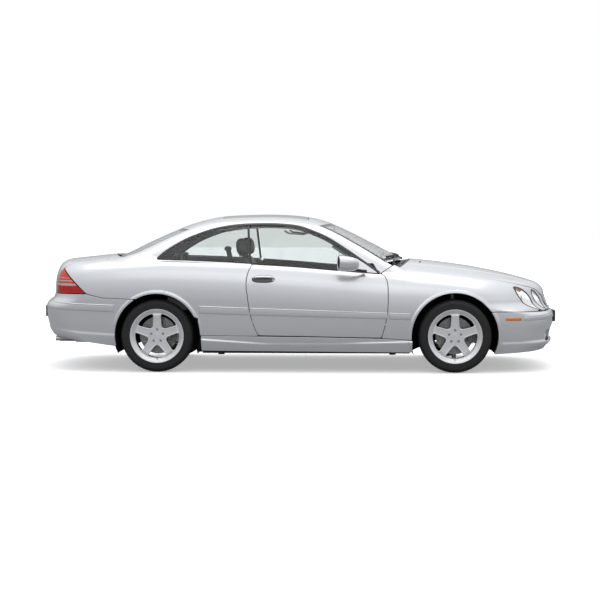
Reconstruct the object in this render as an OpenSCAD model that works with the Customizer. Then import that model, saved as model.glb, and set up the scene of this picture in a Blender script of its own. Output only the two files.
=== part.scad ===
// Two-door pillarless coupe car, built as an assembly of body panels, glass,
// interior, running gear and wheels. Millimetres, +X to the front, +Y to the
// car's left, +Z up. The origin lies on the ground under the middle of the car.

/* [Wheels] */
// Radius of the tyre
tyre_r = 335; // [325:1:340]
// Width of the tyre
tyre_w = 232; // [200:2:236]
// Distance from the car's centre plane to the middle of a tyre
track_half = 784; // [770:1:786]
// Front axle's distance ahead of the origin
front_axle = 1447; // [1440:1:1455]
// Rear axle's distance ahead of the origin
rear_axle = -1283; // [-1290:1:-1275]
// Radius of the brake discs
disc_r = 172; // [140:1:175]
// Number of wheel spokes
spokes = 5; // [5:1:6]

/* [Body] */
// Radius of the front wheel arch
arch_front_r = 397; // [392:1:402]
// Radius of the rear wheel arch
arch_rear_r = 388; // [385:1:395]
// Gap between a moving panel and the body
gap = 10; // [8:1:12]
// Thickness of a door
door_t = 74; // [60:1:80]
// Thickness of the outer panels
skin_t = 24; // [18:1:26]
// Thickness of the window glass
glass_t = 7; // [5:1:9]

/* [Doors and lids] */
// Distance of the door hinge axis ahead of the origin
door_hinge_x = 742; // [738:1:746]
// Distance of the door hinge axis from the centre plane
door_hinge_y = 884; // [880:1:886]

/* [Interior] */
// Diameter of the steering wheel
steering_d = 384; // [360:2:396]
// Width of a front seat
seat_w = 520; // [480:5:540]

/* [Hidden] */

paint = [0.80, 0.81, 0.82];
tint = [0.30, 0.36, 0.34];
dark = [0.10, 0.10, 0.11];
trim = [0.25, 0.27, 0.26];
steel = [0.55, 0.56, 0.58];
axle_z = tyre_r;
// where the rows of three walls start
jf = 0;
jr = 4.6;
jb = 0;

// ---- curves through hand-set points --------------------------------------
function sec(p, i) = (p[i+1][1] - p[i][1]) / (p[i+1][0] - p[i][0]);
function slope(p, i) = i == 0 ? sec(p, 0) : i == len(p)-1 ? sec(p, i-1) : (sec(p, i-1) + sec(p, i)) / 2;
function herm(p, i, x) = let (h = p[i+1][0]-p[i][0], t = (x-p[i][0])/h, a = slope(p, i)*h, b = slope(p, i+1)*h,
    y0 = p[i][1], y1 = p[i+1][1])
    y0 + t*(a + t*(3*(y1-y0) - 2*a - b + t*(2*(y0-y1) + a + b)));
function dense(p, n=4) = [for (i = [0:len(p)-2]) for (k = [0:n-1]) let (x = p[i][0] + (p[i+1][0]-p[i][0])*k/n) [x, herm(p, i, x)],
    p[len(p)-1]];

// half width in plan at the widest height
WP = dense([[-2450, 700], [-2300, 800], [-2100, 852], [-1800, 888], [-1283, 915], [-600, 925], [0, 928],
    [600, 926], [1000, 921], [1447, 908], [1800, 884], [2050, 850], [2250, 800], [2450, 700]]);
// height of the belt line
ZB = dense([[-2450, 985], [-2300, 992], [-1900, 1012], [-1560, 1028], [-1236, 1030], [-899, 1021], [-411, 995], [3, 966],
    [400, 933], [753, 903], [1100, 885], [1447, 862], [1800, 815], [2100, 755], [2450, 680]]);
// change of the half width with height above the belt, and with height itself
DU = dense([[-420, 0], [-330, -3], [-230, -12], [-150, -25], [-90, -42], [-40, -66], [0, -94], [60, -142], [300, -300]]);
DL = dense([[100, -75], [190, -48], [300, -20], [420, -5], [560, 0], [1500, 0]], 3);
// middle of the hood, cowl and deck, and how far they drop at 800 from the middle
ZC = dense([[-2450, 995], [-2300, 1014], [-2130, 1034], [-1960, 1052], [-1767, 1072], [-1400, 1075], [-600, 1060], [300, 1040],
    [1081, 1018], [1243, 1003], [1450, 978], [1656, 948], [1833, 914], [1987, 881], [2143, 840], [2292, 792], [2450, 725]]);
ZD = dense([[-2450, 70], [-1800, 62], [-1200, 55], [0, 70], [700, 105], [1100, 105], [1600, 105], [2000, 100], [2450, 100]]);
// nose and tail at the middle, and how far they sweep back at 600 from the middle
XF = dense([[100, 2200], [160, 2285], [190, 2340], [217, 2362], [246, 2392], [271, 2408], [300, 2402], [345, 2404], [385, 2412],
    [430, 2428], [483, 2430], [519, 2426], [547, 2414], [562, 2404], [600, 2388], [650, 2371], [700, 2354], [731, 2343],
    [790, 2322], [1100, 2200]], 2);
XA = dense([[100, 90], [300, 85], [480, 82], [545, 96], [580, 190], [620, 236], [670, 246], [760, 262], [900, 300], [1100, 320]], 2);
XR = dense([[100, -2100], [190, -2170], [240, -2230], [286, -2290], [326, -2360], [378, -2396], [444, -2418], [517, -2430],
    [570, -2430], [616, -2416], [643, -2392], [670, -2368], [709, -2354], [808, -2350], [880, -2339], [950, -2314], [993, -2296],
    [1100, -2230]], 2);
XB = dense([[100, 90], [400, 84], [600, 84], [680, 90], [800, 95], [1000, 110], [1100, 120]], 2);
// greenhouse: half width at the belt, lean per unit of height, roof
GW = dense([[-2000, 640], [-1700, 700], [-1400, 752], [-1236, 775], [-900, 802], [-400, 818], [3, 824], [400, 826], [753, 820], [1100, 790]]);
ZR = dense([[-1900, 960], [-1500, 1200], [-1300, 1290], [-1153, 1342], [-985, 1391], [-818, 1420], [-650, 1437], [-427, 1446], [-259, 1448],
    [-26, 1437], [179, 1408], [321, 1376], [480, 1325], [800, 1190]]);
XW = dense([[850, 1320], [960, 1118], [1049, 947], [1120, 812], [1198, 659], [1290, 482], [1371, 321], [1500, 60]], 3);
XQ = dense([[850, -2300], [1000, -1950], [1067, -1775], [1100, -1668], [1217, -1405], [1336, -1150], [1450, -860]], 3);

function smin(a, b, k) = let (h = max(k - abs(a-b), 0) / k) min(a, b) - h*h*k/4;
function smax(a, b, k) = -smin(-a, -b, k);
function w_side(x, z) = lookup(x, WP) + lookup(z - lookup(x, ZB), DU) + lookup(z, DL);
function z_top(x, y) = lookup(x, ZC) - lookup(x, ZD)*y*y/640000;
function x_nose(y, z) = lookup(z, XF) - lookup(z, XA)*y*y/360000;
function x_tail(y, z) = lookup(z, XR) + lookup(z, XB)*y*y/360000;
KT = [[-2450, 60], [-2200, 70], [-1700, 90], [-1200, 40], [800, 40], [1100, 100], [1900, 110], [2250, 60], [2450, 50]];
KU = [[-2450, 60], [-1350, 60], [-1150, 10], [1200, 10]];
// positive inside the lower body
function low(x, y, z) = smin(smin(w_side(x, z) - y, x > 0 ? x_nose(y, z) - x : x - x_tail(y, z), 190), z_top(x, y) - z, lookup(x, KT));
function g_side(x, z) = let (t = max(z - lookup(x, ZB), 0)) lookup(x, GW) - 0.47*t - 0.00022*t*t;
// positive inside the greenhouse
function top(x, y, z) = smin(smin(g_side(x, z) - y, (lookup(x, ZR) - 0.000165*y*y) - z, 70),
    x > -300 ? 0.46*(lookup(z, XW) - 0.00034*y*y - x) : 0.42*(x - lookup(z, XQ) - 0.0004*y*y), x > -300 ? 55 : 90);
function body(p) = let (y = abs(p[1])) smax(low(p[0], y, p[2]), top(p[0], y, p[2]), lookup(p[0], KU));

// distance from o along d to the outer surface, between a and b
function ray(o, d, a, b, n=15) = n == 0 ? (a+b)/2 : let (m = (a+b)/2)
    body(o + m*d) > 0 ? ray(o, d, m, b, n-1) : ray(o, d, a, m, n-1);
function span(a, b, n) = [for (i = [0:n]) a + (b-a)*i/n];

// ---- solids between two grids of points ----------------------------------
// P and Q are equal grids; P is the outer face, Q the inner one. Closed rim.
module slab(P, Q) {
    n = len(P); m = len(P[0]);
    pts = concat([for (r = P) each r], [for (r = Q) each r]);
    function a(i, j) = i*m + j;
    function b(i, j) = n*m + i*m + j;
    faces = concat(
        [for (i = [0:n-2]) for (j = [0:m-2]) each [[a(i,j), a(i,j+1), a(i+1,j+1)], [a(i,j), a(i+1,j+1), a(i+1,j)]]],
        [for (i = [0:n-2]) for (j = [0:m-2]) each [[b(i,j), b(i+1,j+1), b(i,j+1)], [b(i,j), b(i+1,j), b(i+1,j+1)]]],
        [for (i = [0:n-2]) each [[a(i,0), a(i+1,0), b(i+1,0)], [a(i,0), b(i+1,0), b(i,0)],
            [a(i,m-1), b(i+1,m-1), a(i+1,m-1)], [a(i,m-1), b(i,m-1), b(i+1,m-1)]]],
        [for (j = [0:m-2]) each [[a(0,j), b(0,j+1), a(0,j+1)], [a(0,j), b(0,j), b(0,j+1)],
            [a(n-1,j), a(n-1,j+1), b(n-1,j+1)], [a(n-1,j), b(n-1,j+1), b(n-1,j)]]]);
    polyhedron(pts, faces, convexity = 8);
}
// wall seen from the side: x list, z list, from f0 to f1 below the outer face
module side_wall(xs, zs, t, o=0) {
    Y = [for (x = xs) [for (z = zs) ray([x, 0, z], [0, 1, 0], 200, 1100)]];
    slab([for (i = [0:len(xs)-1]) [for (j = [0:len(zs)-1]) [xs[i], Y[i][j]-o, zs[j]]]],
         [for (i = [0:len(xs)-1]) [for (j = [0:len(zs)-1]) [xs[i], Y[i][j]-o-t, zs[j]]]]);
}
// wall seen from above; both halves
module top_wall(xs, ys, t, o=0, lo=600) {
    Z = [for (x = xs) [for (y = ys) ray([x, y, 0], [0, 0, 1], lo, 1600)]];
    slab([for (i = [0:len(xs)-1]) [for (j = [0:len(ys)-1]) [xs[i], ys[j], Z[i][j]-o-t]]],
         [for (i = [0:len(xs)-1]) [for (j = [0:len(ys)-1]) [xs[i], ys[j], Z[i][j]-o]]]);
}
// wall seen along rays that leave the line (x, 0, zc) at angles as
module ring_wall(xs, as, t, zc=600, o=0) {
    R = [for (x = xs) [for (a = as) ray([x, 0, zc], [0, cos(a), sin(a)], 150, 1300)]];
    slab([for (i = [0:len(xs)-1]) [for (j = [0:len(as)-1]) [xs[i], (R[i][j]-o)*cos(as[j]), zc + (R[i][j]-o)*sin(as[j])]]],
         [for (i = [0:len(xs)-1]) [for (j = [0:len(as)-1]) [xs[i], (R[i][j]-o-t)*cos(as[j]), zc + (R[i][j]-o-t)*sin(as[j])]]]);
}
// highest elevation at which a ray still lands outside the line y = lookup(x, lim)
function rim_up(xo, p, zc, lim, a, b, n=11) = n == 0 ? a : let (m = (a+b)/2, d = [cos(p)*cos(m), sin(p)*cos(m), sin(m)],
    r = ray([xo, 0, zc], d, 150, 1500, 12)) r*d[1] > lookup(xo + r*d[0], lim) ? rim_up(xo, p, zc, lim, m, b, n-1) : rim_up(xo, p, zc, lim, a, m, n-1);
// wall along a list of [x, plan angle] rays, from elevation lo up to the line lim
module fan_wall(us, lo, m, t, zc, lim) {
    E = [for (u = us) rim_up(u[0], u[1], zc, lim, -5, 80)];
    function el(i, j) = let (f = j/m) (is_list(lo) ? lookup(us[i][0], lo) : lo)*(1-f) + E[i]*f;
    D = [for (i = [0:len(us)-1]) [for (j = [0:m]) let (e = el(i, j), p = us[i][1]) [cos(p)*cos(e), sin(p)*cos(e), sin(e)]]];
    L = [for (i = [0:len(us)-1]) [for (j = [0:m]) ray([us[i][0], 0, zc], D[i][j], 150, 1500)]];
    // the wall's thickness turns to straight down at the rim
    B = [for (i = [0:len(us)-1]) [for (j = [0:m]) let (f = j*j/m/m, w = (1-f)*D[i][j] + [0, 0, f]) t*w/norm(w)]];
    slab([for (i = [0:len(us)-1]) [for (j = [0:m]) [us[i][0], 0, zc] + L[i][j]*D[i][j]]],
         [for (i = [0:len(us)-1]) [for (j = [0:m]) [us[i][0], 0, zc] + L[i][j]*D[i][j] - B[i][j]]]);
}
// wall around an end of the car: rays in plan from (xc, 0) at angles ps
module end_wall(xc, ps, zs, t, s=1, o=0) {
    R = [for (p = ps) [for (z = zs) ray([xc, 0, z], [s*cos(p), sin(p), 0], 150, 1500)]];
    P = [for (i = [0:len(ps)-1]) [for (j = [0:len(zs)-1]) [xc + s*(R[i][j]-o)*cos(ps[i]), (R[i][j]-o)*sin(ps[i]), zs[j]]]];
    Q = [for (i = [0:len(ps)-1]) [for (j = [0:len(zs)-1]) [xc + s*(R[i][j]-o-t)*cos(ps[i]), (R[i][j]-o-t)*sin(ps[i]), zs[j]]]];
    if (s > 0) slab(Q, P); else slab(P, Q);
}
// wall seen along rays that leave the line (xc, y, zc), turning from up to backwards
module tail_wall(ys, as, t, xc, zc) {
    R = [for (y = ys) [for (a = as) ray([xc, y, zc], [-sin(a), 0, cos(a)], 100, 900)]];
    slab([for (i = [0:len(ys)-1]) [for (j = [0:len(as)-1]) [xc - R[i][j]*sin(as[j]), ys[i], zc + R[i][j]*cos(as[j])]]],
         [for (i = [0:len(ys)-1]) [for (j = [0:len(as)-1]) [xc - (R[i][j]-t)*sin(as[j]), ys[i], zc + (R[i][j]-t)*cos(as[j])]]]);
}
// outline in side view pushed through the car's left half, and the like from above
module through_side(pts, y0=0, y1=1200) translate([0, y1, 0]) rotate([90, 0, 0]) linear_extrude(y1-y0) polygon(pts);
module through_top(pts, z0=0, z1=1700) translate([0, 0, z0]) linear_extrude(z1-z0) polygon(pts);
module both() { children(); mirror([0, 1, 0]) children(); }
module arch(x, r, y0=300, y1=1200) translate([x, y1, axle_z]) rotate([90, 0, 0]) cylinder(r = r, h = y1-y0, $fn = 48);

// ---- outlines in side view ------------------------------------------------
// shut lines of the door, front and rear, from the sill up
front_line = [[779, 326], [805, 414], [824, 500], [833, 570], [838, 650], [838, 740], [836, 790], [828, 840], [812, 878], [790, 898], [770, 906]];
rear_line = [[-408, 995], [-428, 958], [-444, 925], [-456, 880], [-463, 823], [-460, 760], [-452, 708], [-441, 629], [-422, 526], [-390, 425],
    [-366, 370], [-350, 345]];
belt_pts = [[-1236, 1030], [-1060, 1027], [-899, 1021], [-650, 1010], [-408, 995], [-200, 981], [3, 966], [195, 949], [480, 926], [753, 903]];
// upper edge of the side windows, from the rear tip to the front tip
window_top = [[-1285, 1032], [-1215, 1092], [-1132, 1148], [-1030, 1205], [-919, 1252], [-810, 1290], [-706, 1316], [-547, 1339],
    [-333, 1348], [-150, 1344], [-3, 1328], [100, 1297], [262, 1228], [442, 1118], [600, 1010], [690, 948], [753, 905]];
function off(p, dx, dz) = [for (q = p) [q[0]+dx, q[1]+dz]];
function belt(x) = lookup(x, belt_pts);
door_shape = concat(off(front_line, -gap, 0), [for (x = [740:-60:-380]) [x, belt(x)]], [[-408+gap, 995]], off(rear_line, gap, 0),
    [[-300, 340], [200, 332], [740, 322]]);

// ---- outlines from above --------------------------------------------------
hood_side = [[922, 704], [1200, 706], [1500, 694], [1750, 664], [1920, 622], [2030, 574], [2120, 505], [2200, 420], [2262, 345], [2300, 300]];
function hood_rear(y) = 1070 - 0.0003*y*y;
function shield_base(y) = 985 - 0.00034*y*y;
function shield_head(y) = 318 - 0.00034*y*y;
function rear_head(y) = -1152 + 0.0004*y*y;
function rear_base(y) = -1764 + 0.0004*y*y;
lid_front = -1782;
lid_side = [[-1782, 630], [-1950, 648], [-2080, 652], [-2200, 636], [-2280, 570], [-2460, 552]];
function mirrored(p) = concat(p, [for (i = [len(p)-1:-1:0]) if (p[i][1] > 0.5) [p[i][0], -p[i][1]]]);

// where the side panels end towards the roof, glass, shelf and trunk lid
side_rim = [[-2400, 600], [-2300, 610], [-2200, 650], [-2080, 665], [-1950, 660], [-1782, 642], [-1600, 652], [-1023, 574], [-900, 568], [208, 568], [798, 742], [900, 748]];
module body_sides() color(paint) both() resize([0, 0, 0]) difference() {
    fan_wall([for (x = [-2253, -2183, -2103, -2003, -1903, -1803, -1703, -1603, -1503, -1403, -1303, -1203, -1103, -1003, -863, -723, -583, -443,
        -283, -113, 53, 193, 333, 463, 583, 703, 793, 873]) [x + jb, 90]], -25, 11, 30, 600, side_rim);
    difference() {
        through_side([[-2600, 100], [1000, 100], [1000, 1600], [-2600, 1600]], -10);
        difference() {
            through_side([[-2256, 985], [-2176, 952], [-1936, 722], [-1796, 685], [-1560, 674], [-1400, 672], [-900, 500], [-880, 345],
                [-360, 341], [-300, 341], [-300, 1000], [700, 1000], [756, 906], [884, 991], [900, 1060], [800, 1200], [300, 1500], [-2000, 1500], [-2256, 1100]], -10);
            through_side(concat([for (p = rear_line) p], [[-300, 335], [700, 800]], [[753, 905]], [for (i = [len(window_top)-2:-1:0]) window_top[i]],
                [for (i = [0:len(belt_pts)-6]) belt_pts[i]]));
            arch(rear_axle, arch_rear_r);
        }
    }
}

module rear_shelf() color(paint) resize([0, 0, 0]) intersection() {
    top_wall([-1800, -1770, -1700, -1630, -1560, -1500], [for (i = [-8:8]) i*80], 24, 0, 700);
    difference() {
        through_top(mirrored([[lid_front+gap, 0], [lid_front+gap, 612], [rear_base(632)-14, 630], [rear_base(600)-12, 600], [rear_base(400)-12, 400], [rear_base(200)-12, 200]]));
    }
}

module roof_panel() color(paint) {
    // header, rear part and the two rails beside the sliding roof
    ys = [for (i = [-7:7]) i*558/7];
    roof_strip(ys, [for (y = ys) 105], [for (y = ys) shield_head(y)-10], 3);
    roof_strip(ys, [for (y = ys) rear_head(y)+10], [for (y = ys) -725], 5);
    for (e = [[380, 470, 558], [-558, -470, -380]]) roof_strip(e, [for (y = e) -724.4], [for (y = e) 104.4], 7);
}
module roof_strip(ys, a, b, n) {
    P = [for (i = [0:n]) [for (j = [0:len(ys)-1]) let (x = a[j] + (b[j]-a[j])*i/n) [x, ys[j], ray([x, ys[j], 0], [0, 0, 1], 600, 1600)]]];
    slab([for (r = P) [for (p = r) p - [0, 0, skin_t]]], P);
}

module sunroof() color([0.15, 0.18, 0.18]) resize([0, 0, 0]) intersection() {
    top_wall([-730, -540, -360, -180, 0, 110], [-385, -250, -120, 0, 120, 250, 385], 18);
    through_top([[-714, -374], [94, -374], [94, 374], [-714, 374]]);
}

module lamp_oval(outer, s=1) {
    a = outer ? [600, 668] : [428, 655];
    // ovals that lean outward at the top, pushed along the car
    translate([1500, a[0], a[1]]) rotate([90, 0, 90]) linear_extrude(1100) rotate(outer ? -17 : -20)
        scale([outer ? 64*s : 56*s, outer ? 112*s : 92*s]) circle(1, $fn = 32);
}

fender_rim = [[700, 742], [798, 742], [880, 724], [922, 714], [1200, 716], [1500, 704], [1750, 674], [1920, 632], [2030, 584], [2120, 515], [2200, 430], [2262, 355], [2300, 308], [2500, 308]];
module front_fenders() color(paint) both() resize([0, 0, 0]) difference() {
    fan_wall(concat([for (x = [773, 833, 903, 993, 1093, 1203, 1313, 1433, 1543]) [x + jf, 90]],
        [for (k = [1:13]) [1543 + jf, 90 - k*5.5]]), -22, 10, skin_t, 500, fender_rim);
    difference() {
        through_side([[600, 100], [2600, 100], [2600, 1300], [600, 1300]], -10);
        difference() {
            through_side(concat([for (p = front_line) p], [[892, 985], [905, 1200], [2500, 1200], [2500, 566], [1700, 566], [1064, 302], [779, 322]]), -10);
            arch(front_axle, arch_front_r);
        }
    }
    lamp_oval(true, 1.03);
    lamp_oval(false, 1.03);
}

// points of an oval unit on the nose: rings at the given share of its size
function lamp_pts(outer, f, back) = let (c = outer ? [600, 668] : [428, 655], a = outer ? 64 : 56, b = outer ? 112 : 92, w = outer ? 17 : 20)
    [for (k = [0:23]) let (u = a*f*cos(k*15), v = b*f*sin(k*15), y = c[0] + u*cos(w) + v*sin(w), z = c[1] + v*cos(w) - u*sin(w))
        [ray([1500, y, z], [1, 0, 0], 200, 1100) - back + 1500, y, z]];
module headlamps() color([0.75, 0.78, 0.80]) both() for (o = [true, false]) hull()
    polyhedron(concat(lamp_pts(o, 0.97, 0), lamp_pts(o, 0.6, 0), lamp_pts(o, 0.2, 0), lamp_pts(o, 0.9, 70)), [for (k = [0:31]) [3*k, 3*k+1, 3*k+2]]);

module front_bumper() color(paint) resize([0, 0, 0]) difference() {
    intersection() {
        end_wall(1500, [for (p = [-76.5:9:76.5]) p], [163, 190, 217, 246, 271, 303, 346, 392, 441, 493, 531, 556], 30);
        through_top([[1700, -1000], [2500, -1000], [2500, 1000], [1700, 1000]], 150, 600);
    }
    for (s = [0, 1]) mirror([0, s, 0]) {
        arch(front_axle, arch_front_r);
        translate([1900, 470, 292]) cube([600, 190, 96]);
    }
    translate([2100, -430, 285]) cube([400, 860, 84]);
}

module rear_bumper() color(paint) resize([0, 0, 0]) difference() {
    intersection() {
        end_wall(-1500, [for (p = [-81:9:81]) p], [for (z = [233, 272, 318, 368, 438, 508, 568, 608, 640, 668, 693, 713]) z + jr], 30, -1);
        both() through_side([[-1400, 656], [-1560, 660], [-1796, 673], [-1930, 704], [-2500, 706], [-2500, 306], [-2180, 306], [-1976, 280], [-1783, 252], [-1400, 200]], -10);
    }
    for (s = [0, 1]) mirror([0, s, 0]) arch(rear_axle, arch_rear_r);
}

module side_sills() color(paint) both() resize([0, 0, 0]) intersection() {
    side_wall([-900, -700, -450, -200, 50, 300, 550, 800, 1080], [185, 210, 250, 290, 320, 345], 60);
    through_side([[-872, 200], [1054, 187], [1058, 296], [770, 314], [200, 322], [-360, 332], [-874, 336]]);
}

module windshield() color(tint) resize([0, 0, 0]) intersection() {
    top_wall([63, 133, 203, 283, 373, 473, 583, 693, 803, 903, 1003], [for (i = [-8:7]) (i+0.5)*99.3], glass_t, 2);
    through_top(mirrored(concat([for (y = [0:100:500]) [shield_head(y)-2, y]], [[shield_head(556)-2, 556], [shield_base(728), 728]], [for (y = [700:-100:0]) [shield_base(y), y]])));
}

module rear_window() color(tint) resize([0, 0, 0]) intersection() {
    top_wall([-1780, -1700, -1620, -1520, -1420, -1320, -1220, -1150, -1080, -1010], [for (i = [-8:8]) i*81], glass_t, 2);
    through_top(mirrored(concat([for (y = [0:100:500]) [rear_head(y)+2, y]], [[rear_head(556)+2, 556], [rear_base(632), 632]], [for (y = [600:-100:0]) [rear_base(y)+4, y]])));
}

zs_glass = [880, 940, 1000, 1060, 1120, 1180, 1240, 1290, 1330, 1360];
module quarter_glass() color(tint) both() resize([0, 0, 0]) intersection() {
    side_wall([-1290, -1170, -1050, -930, -810, -690, -570, -430], zs_glass, glass_t, 6);
    through_side([[-1213, 1034], [-1047, 1030], [-887, 1024], [-637, 1013], [-425, 999], [-453, 1336], [-532, 1330], [-691, 1306], [-795, 1280], [-904, 1242], [-1015, 1195], [-1117, 1138], [-1197, 1082]]);
}

module door_glass() color(tint) resize([0, 0, 0]) intersection() {
    side_wall([-470, -400, -300, -200, -100, 0, 100, 200, 300, 400, 500, 600, 700, 760], zs_glass, glass_t, 6);
    through_side(concat([for (x = [740:-60:-400]) [x, belt(x)+2]], [[-412, 998], [-440, 1340]], [for (i = [8:15]) [window_top[i][0]-8, window_top[i][1]-8]]));
}
module right_door_glass() mirror([0, 1, 0]) door_glass();
module left_door_glass() door_glass();

module door() color(paint) resize([0, 0, 0]) intersection() {
    side_wall([-480, -420, -340, -240, -120, 0, 120, 240, 360, 480, 600, 700, 780, 850], [315, 370, 430, 490, 560, 630, 700, 760, 810, 850, 885, 915, 945, 975, 1005], door_t);
    through_side(door_shape);
}
module right_door() mirror([0, 1, 0]) door();
module left_door() door();

module mirror_head() color(paint) {
    // housing, with the glass facing back
    hull() {
        translate([575, 1010, 1012]) scale([0.55, 1.5, 1]) sphere(r = 42, $fn = 24);
        translate([400, 918, 962]) rotate([0, 90, 0]) cylinder(r = 26, h = 30, $fn = 20);
        translate([400, 918, 1040]) rotate([0, 90, 0]) cylinder(r = 26, h = 30, $fn = 20);
        translate([400, 1060, 970]) rotate([0, 90, 0]) cylinder(r = 24, h = 30, $fn = 20);
        translate([400, 1060, 1046]) rotate([0, 90, 0]) cylinder(r = 22, h = 30, $fn = 20);
    }
    // foot on the door
    hull() {
        translate([520, 930, 955]) sphere(r = 26, $fn = 16);
        translate([640, 846, 925]) sphere(r = 22, $fn = 16);
    }
}
module right_mirror() mirror([0, 1, 0]) mirror_head();
module left_mirror() mirror_head();

// the hood's rows bow from the side line to the middle
hood_rows = [922, 990, 1075, 1170, 1275, 1385, 1495, 1605, 1710, 1805, 1890, 1965, 2035, 2100, 2160, 2210, 2255, 2300];
function hood_x(r, f) = r + (1070 + 1282*(r - 922)/1378 - r)*(1 - f*f);
module hood() color(paint) resize([0, 0, 0]) difference() {
    hood_panel();
    translate([2150, -303, 500]) cube([400, 606, 218]);
}
module hood_panel() {
    P = [for (r = hood_rows) [for (j = [-8:8]) let (x = hood_x(r, j/8), y = j/8*lookup(r, hood_side)) [x, y, ray([x, y, 0], [0, 0, 1], 560, 1200)]]];
    slab([for (r = P) [for (p = r) p - [0, 0, skin_t]]], P);
}

module grille() color([0.7, 0.71, 0.72]) resize([0, 0, 0]) difference() {
    intersection() {
        end_wall(1500, [-21, -16, -11, -6, 0, 6, 11, 16, 21], [563, 595, 625, 655, 685, 713], 45);
        through_top([[2000, -288], [2500, -288], [2500, 288], [2000, 288]]);
    }
    for (i = [0:4]) translate([2000, -262, 576 + i*25]) cube([500, 524, 15]);
}

module trunk_lid() color(paint) resize([0, 0, 0]) intersection() {
    tail_wall([for (i = [-9:8]) (i+0.5)*79.7], [-6, 3.3, 12.3, 22.3, 32.3, 42.3, 50.3, 56.3, 61.3, 65.3, 69.3, 73.3, 77.3, 82.3, 87.3, 93.3], 26, -1800, 700);
    through_top(mirrored(concat([[lid_front, 0]], lid_side)), 715);
}

module tail_lamps() color([0.6, 0.08, 0.08]) both()
    lamp_wall([723, 757, 791, 825, 859, 887, 909, 926], 40);
// one lamp: its inner edge follows the trunk lid's corner, its outer edge leans back
function lamp_edge(z) = lookup(z, [[709, 40.3], [850, 42.0], [935, 45.4], [969, 47.0]]);
function lamp_tip(z, lo, hi, n) = let (m = (lo+hi)/2, x = -1500 - cos(m)*ray([-1500, 0, z], [-cos(m), sin(m), 0], 150, 1500)) n == 0 ? m
    : x < lookup(z, [[722, -1952], [944, -2186]]) ? lamp_tip(z, m, hi, n-1) : lamp_tip(z, lo, m, n-1);
module lamp_wall(zs, t) {
    E = [for (z = zs) [lamp_edge(z), lamp_tip(z, 42, 72, 9)]];
    A = [for (i = [0:6]) [for (e = E) e[0] + (e[1]-e[0])*i/6]];
    R = [for (i = [0:6]) [for (j = [0:7]) ray([-1500, 0, zs[j]], [-cos(A[i][j]), sin(A[i][j]), 0], 150, 1500)]];
    slab([for (i = [0:6]) [for (j = [0:7]) [-1500 - R[i][j]*cos(A[i][j]), R[i][j]*sin(A[i][j]), zs[j]]]],
         [for (i = [0:6]) [for (j = [0:7]) [-1500 - (R[i][j]-t*min(1, 2-i/3))*cos(A[i][j]), (R[i][j]-t*min(1, i/3))*sin(A[i][j]), zs[j]]]]);
}

module cowl() color(dark) {
    resize([0, 0, 0]) intersection() {
        top_wall([823, 883, 943, 1003, 1063, 1113], [for (i = [-9:8]) (i+0.5)*83.3], 12, 80);
        through_top(mirrored([[960, 0], [shield_base(400)-24, 400], [shield_base(690)-24, 690], [hood_rear(690)+60, 690], [hood_rear(400)+40, 400], [1105, 0]]));
    }
}

// ---- structure ------------------------------------------------------------
module plate(x0, x1, y, z0, z1) translate([x0, -y, z0]) cube([x1-x0, 2*y, z1-z0]);
module block(x0, x1, y0, y1, z0, z1) translate([x0, y0, z0]) cube([x1-x0, y1-y0, z1-z0]);
module floor_pan() color(dark) {
    // floor plates, tunnel, rockers and raised rear floor, welded flange to flange
    plate(-938, 1036, 688, 172, 198);
    plate(-1030, -939, 470, 172, 198);
    plate(1037, 1080, 450, 172, 198);
    both() block(-868, 1036, 690, 808, 172, 312);
    plate(-980, 1048, 98, 199, 330);
    plate(-1030, -1001, 470, 199, 339);
    plate(-2200, -1001, 470, 340, 372);
    both() block(-2200, -1700, 471, 590, 340, 372);
    // pads for the jack
    for (x = [-700, 880]) both() translate([x, 760, 158]) cylinder(r = 30, h = 13, $fn = 48);
}

module body_structure() color(dark) {
    // firewall, posts that carry and latch the doors, seat bulkhead, tail beam, front rails and beam
    plate(1050, 1080, 450, 199, 860);
    both() block(640, 730, 692, 740, 314, 832);
    both() block(-480, -420, 692, 748, 314, 872);
    plate(-1215, -1190, 470, 374, 860);
    plate(-2290, -2240, 500, 374, 560);
    both() block(1082, 2168, 290, 370, 330, 470);
    plate(2170, 2230, 600, 390, 500);
}

module plate_carriers() color([0.86, 0.86, 0.86]) {
    // blank carriers with two screw holes each, front and rear
    difference() {
        translate([2432, -260, 430]) cube([12, 520, 112]);
        for (y = [-89, 89]) translate([2420, y, 486]) rotate([0, 90, 0]) cylinder(r = 3, h = 40, $fn = 24);
    }
    difference() {
        translate([-2440, -260, 470]) cube([8, 520, 112]);
        for (y = [-89, 89]) translate([-2460, y, 526]) rotate([0, 90, 0]) cylinder(r = 3, h = 50, $fn = 24);
    }
}

module engine() color(steel) union() {
    plate(1200, 1740, 250, 330, 640);
    plate(1230, 1700, 290, 640, 800);
}

module wheel_axis() rotate([-90, 0, 0]) children();

kingpin_y = 712;
module front_suspension() color(steel) union() {
    plate(front_axle-60, front_axle+60, 420, 190, 250);
    both() {
        translate([front_axle-22, 376, 120]) cube([44, 40, 80]);
        translate([front_axle, 400, 143]) wheel_axis() cylinder(r = 12, h = kingpin_y-400, $fn = 24);
        translate([front_axle, kingpin_y, 126]) cylinder(r = 20, h = 33, $fn = 32);
        translate([front_axle, 440, 400]) cylinder(r = 40, h = 460, $fn = 32);
        translate([front_axle-30, 376, 240]) cube([60, 70, 170]);
        translate([front_axle, 440, 527]) wheel_axis() cylinder(r = 10, h = kingpin_y-440, $fn = 24);
        translate([front_axle, kingpin_y, 513]) cylinder(r = 20, h = 25, $fn = 32);
    }
}

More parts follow.
